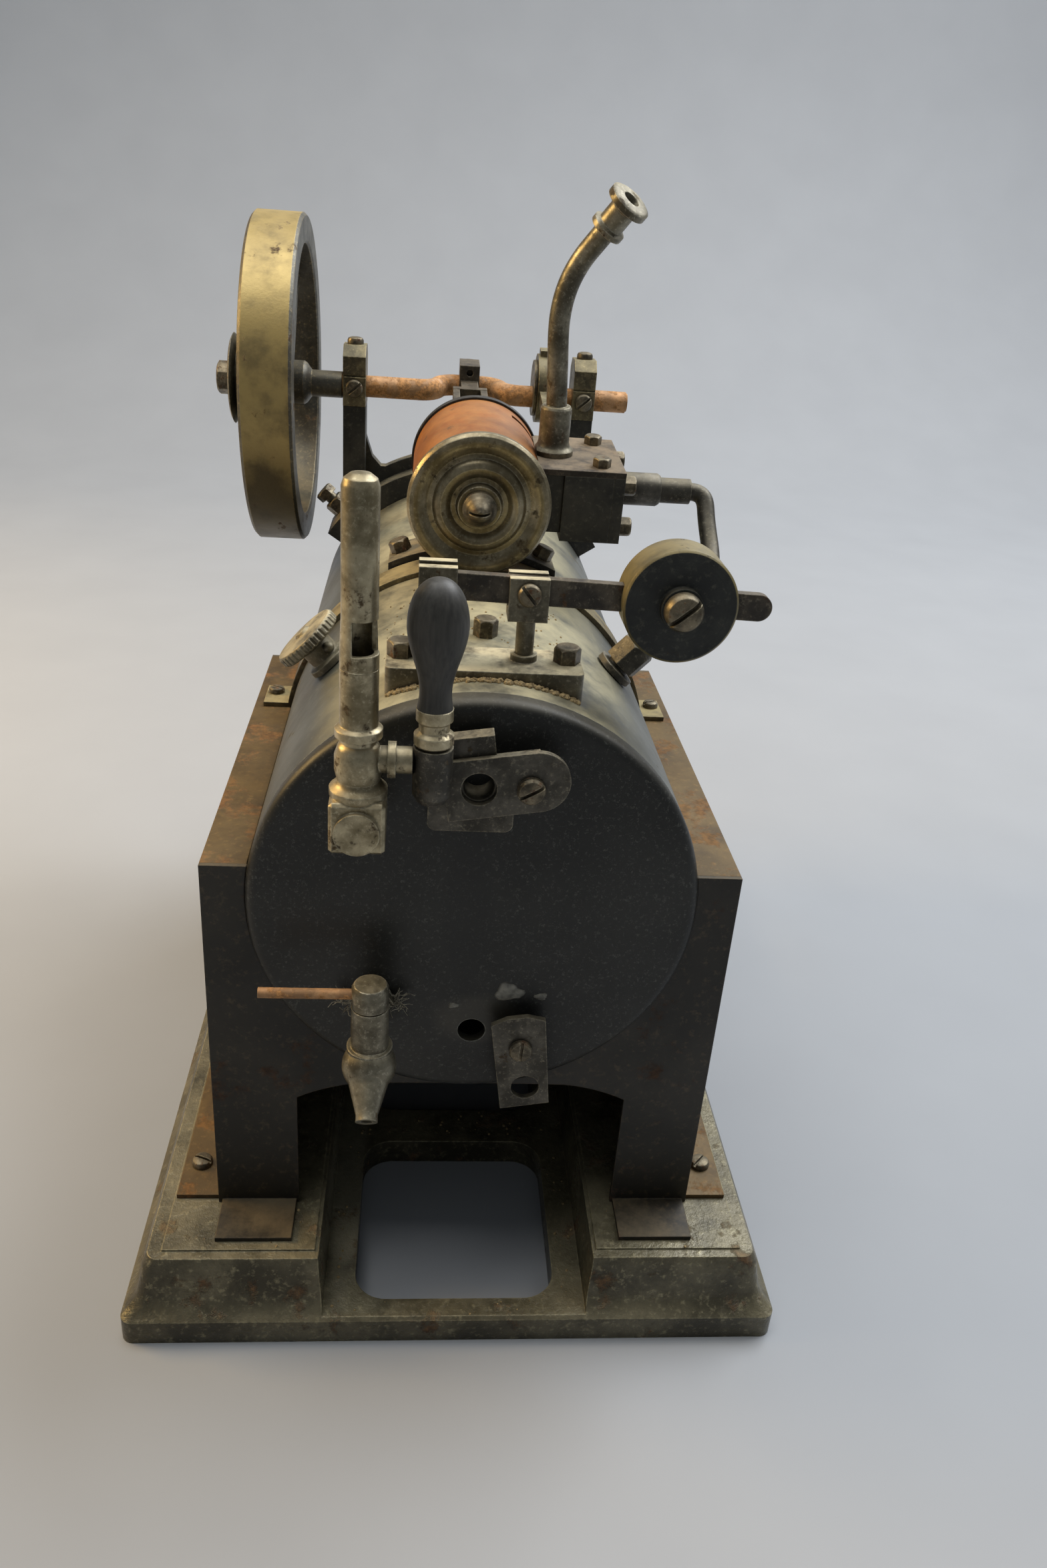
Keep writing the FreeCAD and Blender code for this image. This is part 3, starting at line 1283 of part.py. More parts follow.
valve_body = valve_body.fuse(turned([(0, 0), (3.9, 0), (3.0, -1.6), (1.4, -2.4), (0, -2.5)],
                                    V(handle_x, fittings_y, cock_low), Z_AXIS))
valve_body = valve_body.fuse(rod(3.1, boiler_front - snug - fittings_y, V(handle_x, fittings_y, 153.0), Y_AXIS))
valve_body = valve_body.cut(rod(1.8 + running, 6, V(handle_x, fittings_y, cock_high - 6), Z_AXIS))
keep("whistle_valve_body", valve_body.removeSplitter())
ferrule = turned(
    [
        (0, -5.6),
        (1.8, -5.6),
        (1.8, 0.3),
        (3.5, 0.3),
        (3.9, 0.8),
        (3.9, 2.6),
        (3.0, 3.4),
        (3.0, 5.0),
        (3.6, 5.6),
        (3.6, 8.0),
        (0, 8.0),
    ],
    V(handle_x, fittings_y, cock_high),
    Z_AXIS,
)
keep("handle_ferrule", ferrule)
handle_low = cock_high + 8.0 + snug
handle_curve = [
    (3.5, 0),
    (3.2, 1.6),
    (3.1, 3.6),
    (3.4, 6.0),
    (4.2, 9.0),
    (5.1, 12.0),
    (5.7, 15.0),
    (5.7, 18.0),
    (5.1, 20.8),
    (3.9, 23.2),
    (2.2, 24.8),
    (0, 25.3),
]
handle = turned_curve(handle_curve, V(handle_x, fittings_y, handle_low))
keep("whistle_handle", handle)

# ---------------------------------------------------------------- upper gauge fitting
gauge_x = -1.1
gauge_z = 146.6
plate_turn = 9.0
rear_block = block(-11.2, 6.6, -7.0, boiler_front - snug, 134.6, 148.6)
uprights = [e for e in rear_block.Edges if abs(e.tangentAt(e.FirstParameter).y) > 0.9]
rear_block = rear_block.makeFillet(1.8, uprights)
rear_block = rear_block.cut(rod(3.4, 20, V(handle_x, fittings_y, 153.0), Y_AXIS))
spacer = block(-6.2, 12.0, -9.8, -6.8, 140.6, 152.0)
spacer = spacer.fuse(block(-6.2, 3.2, -9.8, -6.0, 150.0, 157.4))
gauge_pivot = V(gauge_x, 0, gauge_z)
spacer.rotate(gauge_pivot, Y_AXIS, -plate_turn)
rear_block = rear_block.fuse(spacer)
rear_block = rear_block.cut(rod(3.2, 20, V(gauge_x, -15, gauge_z), Y_AXIS))
gauge_screw_x = gauge_x + 10.5
screw_spot = V(gauge_screw_x, 0, gauge_z + 0.3)
rear_block = rear_block.cut(rod(1.3 + snug, 4.2, V(screw_spot.x, -9.9, screw_spot.z), Y_AXIS))
rear_block = rear_block.cut(rod(4.1, 20, V(handle_x, fittings_y, 147.0), Z_AXIS))
keep("gauge_rear_block", rear_block.removeSplitter())
front_face = -11.3
gauge_plate = block(gauge_x - 7.0, gauge_x + 12.0, front_face, -9.8 - snug, gauge_z - 6.6, gauge_z + 6.6)
gauge_plate = gauge_plate.fuse(rod(6.6, -9.8 - snug - front_face, V(gauge_x + 12.0, front_face, gauge_z), Y_AXIS))
gauge_plate.rotate(gauge_pivot, Y_AXIS, -plate_turn)
gauge_plate = gauge_plate.cut(rod(3.6, 10, V(gauge_x, -15, gauge_z), Y_AXIS))
gauge_plate = gauge_plate.cut(rod(1.3 + snug, 10, V(screw_spot.x, -15, screw_spot.z), Y_AXIS))
gauge_plate = gauge_plate.cut(rod(4.2, 20, V(handle_x, fittings_y, 144.5), Z_AXIS))
gauge_plate = gauge_plate.cut(rod(3.4, 20, V(handle_x, fittings_y, 153.0), Y_AXIS))
keep("gauge_front_plate", gauge_plate.removeSplitter())
slotted.append(slotted_screw(2.9, 2.0, 1.3, 5.0, V(screw_spot.x, front_face, screw_spot.z), Y_AXIS * -1, 30))

# ---------------------------------------------------------------- lower gauge bracket
swing_x = 12.2
swing_z = 78.0
stud = rod(3.4, 3.0, V(swing_x, -6.0 - snug, swing_z), Y_AXIS)
slotted.append(stud.cut(rod(1.5, 10, V(swing_x, -10, swing_z), Y_AXIS)).fuse(
    slotted_screw(2.7, 1.8, 1.5 - snug, 4.4, V(swing_x, -7.6, swing_z), Y_AXIS * -1, 85)))
bracket_outline = [
    (-6.3, 7.2),
    (-2.4, 8.7),
    (2.2, 8.8),
    (6.2, 7.4),
    (5.8, -16.7),
    (-5.8, -17.2),
]
plate = extruded_xz(bracket_outline, -7.5, -6.1)
plate = plate.cut(rod(3.3, 10, V(0.4, -12, -11.4), Y_AXIS))
plate = plate.cut(rod(1.5 - snug + running, 10, V(0, -12, 0), Y_AXIS))
plate.rotate(V(0, 0, 0), Y_AXIS, -7.0)
plate.translate(V(swing_x, 0, swing_z))
keep("lower_gauge_bracket", plate)
keep("slotted_screws", Part.makeCompound(slotted))

# ---------------------------------------------------------------- drain cock
ball_z = 80.2
barrel_low = 84.0
barrel_high = 95.5
cock = ring(4.1, 2.5, barrel_high - barrel_low, V(cock_x, fittings_y, barrel_low), Z_AXIS)
cock = cock.fuse(Part.makeSphere(6.0, V(cock_x, fittings_y - 1.0, ball_z)))
cock = cock.fuse(rod(5.0, 1.6, V(cock_x, fittings_y, barrel_low - 0.6), Z_AXIS))
spout_dir = V(0, -0.82, -0.57)
spout_dir.normalize()
ball_centre = V(cock_x, fittings_y - 1.0, ball_z)
spout = Part.makeCone(4.4, 2.4, 7.0, ball_centre + spout_dir * 4.0, spout_dir)
spout = spout.fuse(rod(2.4, 1.6, ball_centre + spout_dir * 10.9, spout_dir))
cock = cock.fuse(spout)
tail = rod(3.3, boiler_front - snug - fittings_y - 2.5, V(cock_x, fittings_y + 2.5, 89.5), Y_AXIS)
tail = tail.fuse(hexagon(8.4, 3.2, V(cock_x, boiler_front - snug - 3.4, 89.5), Y_AXIS))
cock = cock.fuse(tail)
cock = cock.cut(rod(2.5, 30, V(cock_x, fittings_y, barrel_low + 1.2), Z_AXIS))
cock = cock.cut(rod(1.3, 12, ball_centre + spout_dir * 4.0, spout_dir))
keep("drain_cock_body", cock.removeSplitter())
plug = turned(
    [
        (0, barrel_low + 1.6),
        (2.5 - running, barrel_low + 1.6),
        (2.5 - running, barrel_high + 0.3),
        (4.0, barrel_high + 0.3),
        (4.0, barrel_high + 4.8),
        (3.5, barrel_high + 5.7),
        (0, barrel_high + 5.9),
    ],
    V(cock_x, fittings_y, 0),
    Z_AXIS,
)
rod_height = barrel_high + 3.0
plug = plug.cut(rod(1.15 + snug, 6, V(cock_x - 1.2, fittings_y, rod_height), X_AXIS * -1))
keep("drain_cock_plug", plug)
keep("drain_cock_rod", rod(1.15, 22.4, V(cock_x - 1.3, fittings_y, rod_height), X_AXIS * -1))

# ---------------------------------------------------------------- export
shift = V(0, -base_length / 2 + base_front_margin, 0)
for name, shape in nodes.items():
    moved = shape.copy()
    moved.translate(shift)
    moved.exportStep("parts/" + name + ".step")
    box = moved.BoundBox
    print(name, len(moved.Solids), moved.isValid(), round(moved.Volume, 1),
          [round(value, 1) for value in (box.XMin, box.XMax, box.YMin, box.YMax, box.ZMin, box.ZMax)])
print(len(nodes), "nodes")
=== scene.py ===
# %% [markdown]
# # A model steam engine, dressed for its portrait
# The shapes were drawn in CAD and arrive as a fixed frame, one object for each piece of
# metal. This lesson gives each of them the finish that a century of soot, oil and damp
# left on it, adds the few soft or ragged things that CAD is bad at, and lights the result.

# %% Load the frame
import math
import random

import bpy
import bmesh
from mathutils import Matrix, Vector


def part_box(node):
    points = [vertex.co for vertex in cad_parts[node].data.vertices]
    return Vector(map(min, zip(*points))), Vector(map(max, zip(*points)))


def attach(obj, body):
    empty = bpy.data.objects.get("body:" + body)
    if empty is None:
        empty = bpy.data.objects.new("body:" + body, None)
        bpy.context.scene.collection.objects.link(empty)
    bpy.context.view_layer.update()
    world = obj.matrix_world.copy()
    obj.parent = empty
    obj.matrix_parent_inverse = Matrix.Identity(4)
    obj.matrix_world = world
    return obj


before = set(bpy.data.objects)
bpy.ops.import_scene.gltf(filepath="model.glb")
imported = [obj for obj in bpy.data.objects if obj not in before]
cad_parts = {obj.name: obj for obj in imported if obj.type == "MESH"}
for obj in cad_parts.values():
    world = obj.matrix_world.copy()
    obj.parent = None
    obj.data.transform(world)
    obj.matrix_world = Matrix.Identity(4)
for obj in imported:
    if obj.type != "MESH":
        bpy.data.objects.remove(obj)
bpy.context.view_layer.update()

# %% [markdown]
# ## Small helpers
# Colours are written as the hex values an artist would pick from a swatch. Blender
# calculates with linear light, so one function converts them. Another adds a node, sets
# it up and wires it in one call. The rest are short names for steps that come back often.

# %% Colour, node and object helpers
MM = 0.001


def hex_colour(text, brightness=1.0):
    """sRGB hex such as '7a5a3c' to linear RGBA, dimmed where asked."""
    values = [int(text[i:i + 2], 16) / 255 for i in (0, 2, 4)]
    linear = [v / 12.92 if v <= 0.04045 else ((v + 0.055) / 1.055) ** 2.4 for v in values]
    return (*(v * brightness for v in linear), 1.0)


def add(tree, kind, inputs=None, **settings):
    """Add a node, set its properties, then fill or link its input sockets."""
    made = tree.nodes.new(kind)
    for key, value in settings.items():
        setattr(made, key, value)
    for socket, value in (inputs or {}).items():
        if isinstance(value, bpy.types.NodeSocket):
            tree.links.new(value, made.inputs[socket])
        else:
            made.inputs[socket].default_value = value
    return made


def mixed(tree, factor, low, high):
    """Blend two colours, which a Mix node takes at its sockets 6 and 7."""
    return add(tree, "ShaderNodeMix", {0: factor, 6: low, 7: high}, data_type="RGBA").outputs[2]


def remap(tree, value, low, high, to_low, to_high, **settings):
    """Stretch the range from low to high onto another range."""
    return add(tree, "ShaderNodeMapRange", {0: value, 1: low, 2: high, 3: to_low, 4: to_high},
               **settings).outputs[0]


def cells(size_mm):
    """The noise scale that makes its cells this wide."""
    return 1000.0 / size_mm


def blank_material(name):
    made = bpy.data.materials.new(name)
    made.use_nodes = True
    made.node_tree.nodes.clear()
    return made, made.node_tree


def two_tones(tree, drift, low, high, low_hex, high_hex):
    """One tone below low, another above high, and a ramp between them."""
    tone = add(tree, "ShaderNodeValToRGB", {0: drift})
    for stop, place, tint in zip(tone.color_ramp.elements, (low, high), (low_hex, high_hex)):
        stop.position = place
        stop.color = hex_colour(tint)
    return tone.outputs[0]


def close_material(tree, colour, roughness, height, strength, depth_mm, metallic=0.0, normal=None):
    """Emboss the surface by the height given, then wire it to the output."""
    bump = {"Strength": strength, "Distance": depth_mm * MM, "Height": height}
    if normal is not None:
        bump["Normal"] = normal
    relief = add(tree, "ShaderNodeBump", bump)
    shader = add(tree, "ShaderNodeBsdfPrincipled", {"Base Color": colour, "Metallic": metallic,
                 "Roughness": roughness, "Normal": relief.outputs[0]})
    add(tree, "ShaderNodeOutputMaterial", {"Surface": shader.outputs[0]})


def placed(name, data):
    """Make an object and put it into the scene."""
    made = bpy.data.objects.new(name, data)
    bpy.context.scene.collection.objects.link(made)
    return made


print("linear value of mid grey:", round(hex_colour("808080")[0], 3))

# %% [markdown]
# ## Rounding what the eye expects to be round
# The frame's surfaces are triangles. Joining their loose corners and smoothing across
# every edge that bends by less than 32 degrees gives turned pieces an even sheen, while
# real corners stay crisp. One Geometry Nodes tree does it for every CAD node.

# %% A tree that smooths by angle
def smoothing_tree(limit_degrees):
    tree = bpy.data.node_groups.new("smooth_gentle_edges", "GeometryNodeTree")
    tree.interface.new_socket("Geometry", in_out="INPUT", socket_type="NodeSocketGeometry")
    tree.interface.new_socket("Geometry", in_out="OUTPUT", socket_type="NodeSocketGeometry")
    start = add(tree, "NodeGroupInput")
    plain = add(tree, "GeometryNodeRemoveAttribute",
                {"Geometry": start.outputs[0], "Name": "custom_normal"})
    joined = add(tree, "GeometryNodeMergeByDistance",
                 {"Geometry": plain.outputs[0], "Distance": 0.002 * MM})
    faces = add(tree, "GeometryNodeSetShadeSmooth",
                {"Geometry": joined.outputs[0], "Shade Smooth": True})
    bend = add(tree, "GeometryNodeInputMeshEdgeAngle")
    gentle = add(tree, "FunctionNodeCompare", {0: bend.outputs[0], 1: math.radians(limit_degrees)},
                 data_type="FLOAT", operation="LESS_THAN")
    edges = add(tree, "GeometryNodeSetShadeSmooth",
                {"Geometry": faces.outputs[0], "Shade Smooth": gentle.outputs[0]}, domain="EDGE")
    add(tree, "NodeGroupOutput", {0: edges.outputs[0]})
    return tree


gentle_edges = smoothing_tree(32)
for node_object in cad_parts.values():
    node_object.modifiers.new("smooth_gentle_edges", "NODES").node_group = gentle_edges
print("smoothed", len(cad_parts), "nodes")

# %% [markdown]
# ## Old metal, layer by layer
# Every metal surface here aged in the same order: a coat or bare metal with slow colour
# drift, rust blooming through it in patches, corners rubbed back to a lighter tone, and
# dust settling on what faces up. Before the dust, painted shade darkens the corners. The
# recipe stacks those layers, and each finish below states its own colours, sizes and amounts.

# %% The recipe for aged metal
ROUNDED_EDGE = 0.45 * MM  # edges catch the light as if rounded by this much
CORNER_REACH = 5.0 * MM  # painted corner shade reaches this far out of a corner
LATHE_MARK_MM = 0.9  # from one tool mark to the next
DULLED = 0.88  # roughness of rust and of dust


def aged_metal(name, coat, shade, rust, dust, edge, metallic=0.3, roughness=0.55, patch_mm=18.0,
               speck_mm=1.4, rust_cover=0.3, dust_cover=0.3, edge_wear=0.5, pit_mm=0.05, painted_corner_shade=0.6,
               speckle=1.0, dust_from=0.35, seed=0.0, rings=None, rim=None, stains_and_painted_shade=()):
    """Patches and specks are sized in millimetres; covers and wear run from 0 to 1.

    rings is (centre, tilt) of a lathe's axis, rim is (centre, reach, tone, drift) of a wheel,
    and each stain or patch of painted shade is (centre, reach, strength, tone).
    """
    made, tree = blank_material(name)

    def blend(factor, low, high):
        return mixed(tree, factor, low, high)

    def rise(value, low, high, top=1.0):
        return remap(tree, value, low, high, 0.0, top, interpolation_type="SMOOTHSTEP")

    def maths(operation, first, second):
        return add(tree, "ShaderNodeMath", {0: first, 1: second}, operation=operation).outputs[0]

    def vector(operation, *values, output="Vector"):
        return add(tree, "ShaderNodeVectorMath", dict(enumerate(values)),
                   operation=operation).outputs[output]

    def noise(size_mm, w, detail, roughness_value=0.6):
        return add(tree, "ShaderNodeTexNoise", {"Vector": where, "W": seed + w,
                   "Scale": cells(size_mm), "Detail": detail, "Roughness": roughness_value},
                   noise_dimensions="4D").outputs[0]

    where = add(tree, "ShaderNodeTexCoord").outputs["Object"]
    surface = add(tree, "ShaderNodeNewGeometry")
    patches = noise(patch_mm, 0.0, 5.0)
    specks = noise(speck_mm, 3.1, 3.0, 0.7)

    # coat: slow drift between two tones, with lighter and darker specks
    colour = blend(rise(patches, 0.36, 0.64), hex_colour(coat), hex_colour(shade))
    colour = blend(rise(specks, 0.52, 0.74, 0.4 * speckle), colour, hex_colour(edge))
    colour = blend(rise(specks, 0.46, 0.28, 0.5 * speckle), colour, hex_colour(shade))
    if rim:
        # a face belongs to the rim when its plane passes far enough from the wheel's centre
        centre, reach, rim_hex, drift_hex = rim
        offset = vector("SUBTRACT", where, centre)
        plane = vector("DOT_PRODUCT", offset, surface.outputs["Normal"], output="Value")
        drifted = blend(rise(patches, 0.42, 0.66), hex_colour(rim_hex), hex_colour(drift_hex))
        colour = blend(rise(plane, reach - 1.0 * MM, reach), colour, drifted)
    for centre, reach, strength, stain_and_shade_hex in stains_and_painted_shade:
        # a soft ellipsoid whose outline the patches make ragged
        offset = vector("SUBTRACT", where, centre)
        scaled = vector("MULTIPLY", offset, tuple(1 / r for r in reach))
        ragged = maths("ADD", vector("LENGTH", scaled, output="Value"), patches)
        colour = blend(rise(ragged, 1.6, 1.1, strength), colour, hex_colour(stain_and_shade_hex))

    # rust: blooms past a threshold, deep and bright in turn
    blooms = noise(patch_mm * 0.55, 7.7, 8.0, 0.68)
    threshold = 0.5 + (0.5 - rust_cover) * 0.34
    rusted = rise(blooms, threshold - 0.035, threshold + 0.05)
    rust_tone = blend(rise(specks, 0.35, 0.65), hex_colour(rust, 0.45), hex_colour(rust))
    colour = blend(rusted, colour, rust_tone)

    # wear on the edges, painted shade in the corners, dust on what faces up
    rounded = add(tree, "ShaderNodeBevel", {"Radius": ROUNDED_EDGE}, samples=4).outputs[0]
    turn = vector("DOT_PRODUCT", rounded, surface.outputs["Normal"], output="Value")
    rubbed = maths("MULTIPLY", rise(turn, 0.985, 0.86, edge_wear), rise(specks, 0.3, 0.6))
    colour = blend(rubbed, colour, hex_colour(edge))
    # painted shade: ambient occlusion darkens corners, recesses and gaps between parts, broken up
    # by the patches
    shelter = add(tree, "ShaderNodeAmbientOcclusion", {"Distance": CORNER_REACH}, samples=4)
    painted_corner_shade_mask = maths("MULTIPLY", rise(shelter.outputs["AO"], 0.75, 0.2, painted_corner_shade),
                  rise(patches, 0.2, 0.55))
    colour = blend(painted_corner_shade_mask, colour, hex_colour(shade, 0.35))
    upward = add(tree, "ShaderNodeSeparateXYZ", {0: surface.outputs["Normal"]}).outputs[2]
    settled = maths("MULTIPLY", rise(upward, dust_from, 0.97, dust_cover),
                    rise(noise(patch_mm * 0.8, 12.4, 7.0, 0.7), 0.3, 0.62))
    colour = blend(settled, colour, hex_colour(dust))

    # rust and dust take away the sheen
    sheen_loss = maths("MAXIMUM", rusted, settled)
    sheen = remap(tree, patches, 0.3, 0.7, roughness - 0.07, roughness + 0.1)
    rough = remap(tree, sheen_loss, 0.0, 1.0, sheen, DULLED)
    metal = remap(tree, sheen_loss, 0.0, 1.0, metallic, metallic * 0.15)
    height = maths("ADD", specks, rusted)
    if rings:
        # tool marks left by the lathe run round the axis, so they depend on the radius alone
        centre, tilt = rings
        moved = add(tree, "ShaderNodeMapping", {0: where, 1: [-c for c in centre]},
                    vector_type="POINT")
        turned = add(tree, "ShaderNodeMapping", {0: moved.outputs[0], 2: (tilt, 0.0, 0.0)},
                     vector_type="POINT")
        flat = vector("MULTIPLY", turned.outputs[0], (1.0, 0.0, 1.0))
        marks = add(tree, "ShaderNodeTexNoise", {"W": vector("LENGTH", flat, output="Value"),
                    "Scale": cells(LATHE_MARK_MM), "Detail": 2.0}, noise_dimensions="1D").outputs[0]
        height = maths("ADD", height, marks)
        colour = blend(rise(marks, 0.56, 0.4, 0.25), colour, hex_colour(shade))
    close_material(tree, colour, rough, height, strength=0.75, depth_mm=pit_mm, metallic=metal,
                   normal=rounded)
    return made


def dress(material, *names):
    """Give these CAD nodes one material."""
    for name in names:
        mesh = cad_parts[name].data
        mesh.materials.clear()
        mesh.materials.append(material)
    print(material.name, "on", ", ".join(names))


# %% [markdown]
# ## Base: grey cast iron, once painted, now brown with damp
# Sand casting leaves a fine orange-peel skin. The paint has gone except for a dark
# film, and pale grit sits in the pores. The specks are about a millimetre and a half.
# A pale streak runs along each side of the trough, stronger on the left.

# %% Cast-iron base
trough_streaks = (((-0.0285, -0.085, 0.012), (0.006, 0.045, 0.012), 0.7, "8f8a78"),
                  ((0.0285, -0.085, 0.012), (0.006, 0.045, 0.012), 0.4, "7f775f"))
dress(aged_metal("sand_cast_iron_brown", "625c48", "373325", "6a5034", "a89f80", "b0a784",
                 metallic=0.3, roughness=0.3, patch_mm=20, speck_mm=1.5, rust_cover=0.2,
                 dust_cover=0.3, edge_wear=0.9, pit_mm=0.42, painted_corner_shade=0.5, seed=1.0,
                 stains_and_painted_shade=trough_streaks), "base_plate")

# %% [markdown]
# ## Firebox: sheet steel, thin black varnish burnt and rusted
# The front is the darkest, because it is black over brown scale. The shelves on top
# caught the damp and have turned a patchy orange-brown.

# %% Firebox sheets
dress(aged_metal("varnished_sheet_burnt", "242017", "17150f", "483220", "7a6b4f", "5d4d36",
                 metallic=0.2, roughness=0.45, patch_mm=26, speck_mm=1.8, rust_cover=0.16,
                 dust_cover=0.5, edge_wear=0.5, pit_mm=0.05, seed=2.0), "firebox_front_plate",
      "firebox_rear_plate")
dress(aged_metal("rusted_sheet_orange", "5f4a26", "40311b", "75502a", "8b7547", "8a6c3c",
                 metallic=0.25, roughness=0.5, patch_mm=20, speck_mm=1.8, rust_cover=0.36,
                 dust_cover=0.22, edge_wear=0.4, pit_mm=0.07, seed=3.0), "firebox_sides")
dress(aged_metal("strap_steel_browned", "6d6349", "453d2c", "6f5028", "a09268", "a99a70",
                 metallic=0.45, roughness=0.45, patch_mm=9, rust_cover=0.15, dust_cover=0.9,
                 seed=3.5), "boiler_strap")

# %% [markdown]
# ## Boiler: steel tube, stove-blacked, rubbed to a blue-grey sheen
# Heat and handling have polished the blacking. Beige dust lies along the crown and
# thins out down the sides. The front head is darker, with hardly any dust, and the pale
# edge tone on its rounded rim is partly rubbed metal and partly painted highlight. A black
# streak on it shows where the gauge glass stood, and a paler patch lies round the cock.

# %% Boiler shell and heads
dress(aged_metal("stove_blacked_tube", "4f5048", "3c3d37", "5f5238", "b3aa87", "8d908a",
                 metallic=0.3, roughness=0.4, patch_mm=30, speck_mm=2.0, rust_cover=0.12,
                 dust_cover=0.8, edge_wear=0.4, pit_mm=0.02, painted_corner_shade=0.5, speckle=0.5, dust_from=0.62,
                 seed=4.0), "boiler_barrel")
head_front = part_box("boiler_front_head")[0][1]
head_marks = (((-0.0015, head_front, 0.112), (0.0055, 0.02, 0.026), 0.55, "161614"),
              ((0.003, head_front, 0.083), (0.012, 0.02, 0.008), 0.5, "48443a"))
# the pale edge tone 'b0b0a4', worn on at 0.9, is rubbed metal and also a painted highlight along
# the head's rounded rim
dress(aged_metal("stove_blacked_head", "21211d", "181815", "352d21", "5f5947", "b0b0a4",
                 metallic=0.2, roughness=0.42, patch_mm=34, speck_mm=0.7, rust_cover=0.03,
                 dust_cover=0.45, edge_wear=0.9, pit_mm=0.015, painted_corner_shade=0.3, speckle=0.35, seed=5.0,
                 stains_and_painted_shade=head_marks), "boiler_front_head", "boiler_rear_head")

# %% [markdown]
# ## Engine castings: black paint with brown dust
# The frame, cylinder and valve chest were brushed with black paint. Dust clings to the
# oil on their tops. The plate over the chest is nearly all dust.

# %% Painted castings
dress(aged_metal("black_painted_casting", "403d34", "292823", "463425", "968a6c", "757060",
                 metallic=0.2, roughness=0.48, patch_mm=12, speck_mm=1.2, rust_cover=0.1,
                 dust_cover=0.9, edge_wear=0.6, pit_mm=0.08, seed=6.0), "engine_frame",
      "cylinder_block", "valve_chest", "chest_side_cover", "rear_support")
dress(aged_metal("dusty_cover_plate", "4b4237", "2f2a24", "5e4a33", "83745e", "8a7d68",
                 metallic=0.3, roughness=0.6, patch_mm=8, rust_cover=0.2, dust_cover=0.85,
                 seed=6.5), "chest_top_plate")
dress(aged_metal("black_rubbed_ring", "1f1f1e", "141414", "33291f", "5c5548", "4c4a45",
                 metallic=0.1, roughness=0.45, patch_mm=8, rust_cover=0.05, dust_cover=0.25,
                 seed=6.8), "lagging_ring")

# %% [markdown]
# ## Lagging: thin sheet in orange-red enamel
# Brushed enamel over sheet keeps its colour but turns chalky, and chips dark at the edges.

# %% Enamelled lagging
dress(aged_metal("orange_red_enamel", "9c5f26", "7f491c", "5a3a20", "b08c55", "603e20",
                 metallic=0.0, roughness=0.42, patch_mm=10, speck_mm=1.5, rust_cover=0.1,
                 dust_cover=0.25, edge_wear=0.8, pit_mm=0.03, painted_corner_shade=0.9, seed=7.0),
      "cylinder_lagging")

# %% [markdown]
# ## Flywheel: turned cast iron under brown lacquer
# The lathe left the rim bright and old lacquer tints it tan. Its flanks are duller, and
# a painted shade darkens the lower front of the wheel.

# %% Flywheel
SHAFT_Y, SHAFT_Z = 0.0921, 0.193
wheel_at = (-0.0626, SHAFT_Y, SHAFT_Z)
# painted shade: a dark ellipsoid centred below the axis, so the wheel grows darker towards the
# bottom of its front
wheel_lower_painted_shade = ((-0.066, 0.068, 0.140), (0.03, 0.06, 0.045), 0.85, "29261d")
dress(aged_metal("turned_iron_lacquered", "5f5d54", "403d35", "5a432c", "9c8b62", "b3a27a",
                 metallic=0.5, roughness=0.42, patch_mm=13, speck_mm=1.1, rust_cover=0.14,
                 dust_cover=0.3, edge_wear=0.8, pit_mm=0.07, seed=8.0,
                 rim=(wheel_at, 0.049, "ae9962", "7d6f4a"), stains_and_painted_shade=(wheel_lower_painted_shade,)), "flywheel")

# %% [markdown]
# ## Bright steel left in the damp
# The bent shaft and the spindle rods are covered in an even red-brown rust, and the
# screws and nuts are merely tarnished, with rubbed slots and corners.

# %% Rusted and tarnished steel
dress(aged_metal("rusted_round_bar", "cc9c6c", "93704e", "cd955c", "b09a76", "d6b385", metallic=0.3,
                 roughness=0.6, patch_mm=7, speck_mm=0.9, rust_cover=0.55, dust_cover=0.1,
                 pit_mm=0.08, seed=9.0), "crankshaft", "drain_cock_rod", "valve_spindle")
dress(aged_metal("tarnished_steel_screws", "7a705c", "454036", "6a4a30", "84795f", "aba188",
                 metallic=0.75, roughness=0.42, patch_mm=4, speck_mm=0.7, rust_cover=0.22,
                 dust_cover=0.3, edge_wear=0.9, pit_mm=0.03, seed=10.0), "slotted_screws",
      "hex_nuts", "chest_studs", "fork_screw", "weight_screw", "shaft_nut", "front_cover_nut",
      "gland_nuts", "piston_rod", "eccentric_sheave")
dress(aged_metal("dark_forged_steel", "5f574a", "393530", "5c4530", "7c715c", "9b917c",
                 metallic=0.6, roughness=0.45, patch_mm=7, speck_mm=0.9, rust_cover=0.2,
                 dust_cover=0.3, edge_wear=0.8, pit_mm=0.04, seed=11.0), "safety_lever",
      "connecting_rod", "big_end_cap")

# %% [markdown]
# ## Worn nickel over brass
# Fittings were nickel plated. The plating is thin, so a warm brass tone shows through,
# and the hollows carry the strongest painted shade. What was handled stays brightest. What
# stood in steam went grey or black. Bearings and strap are bare brass under old oil.

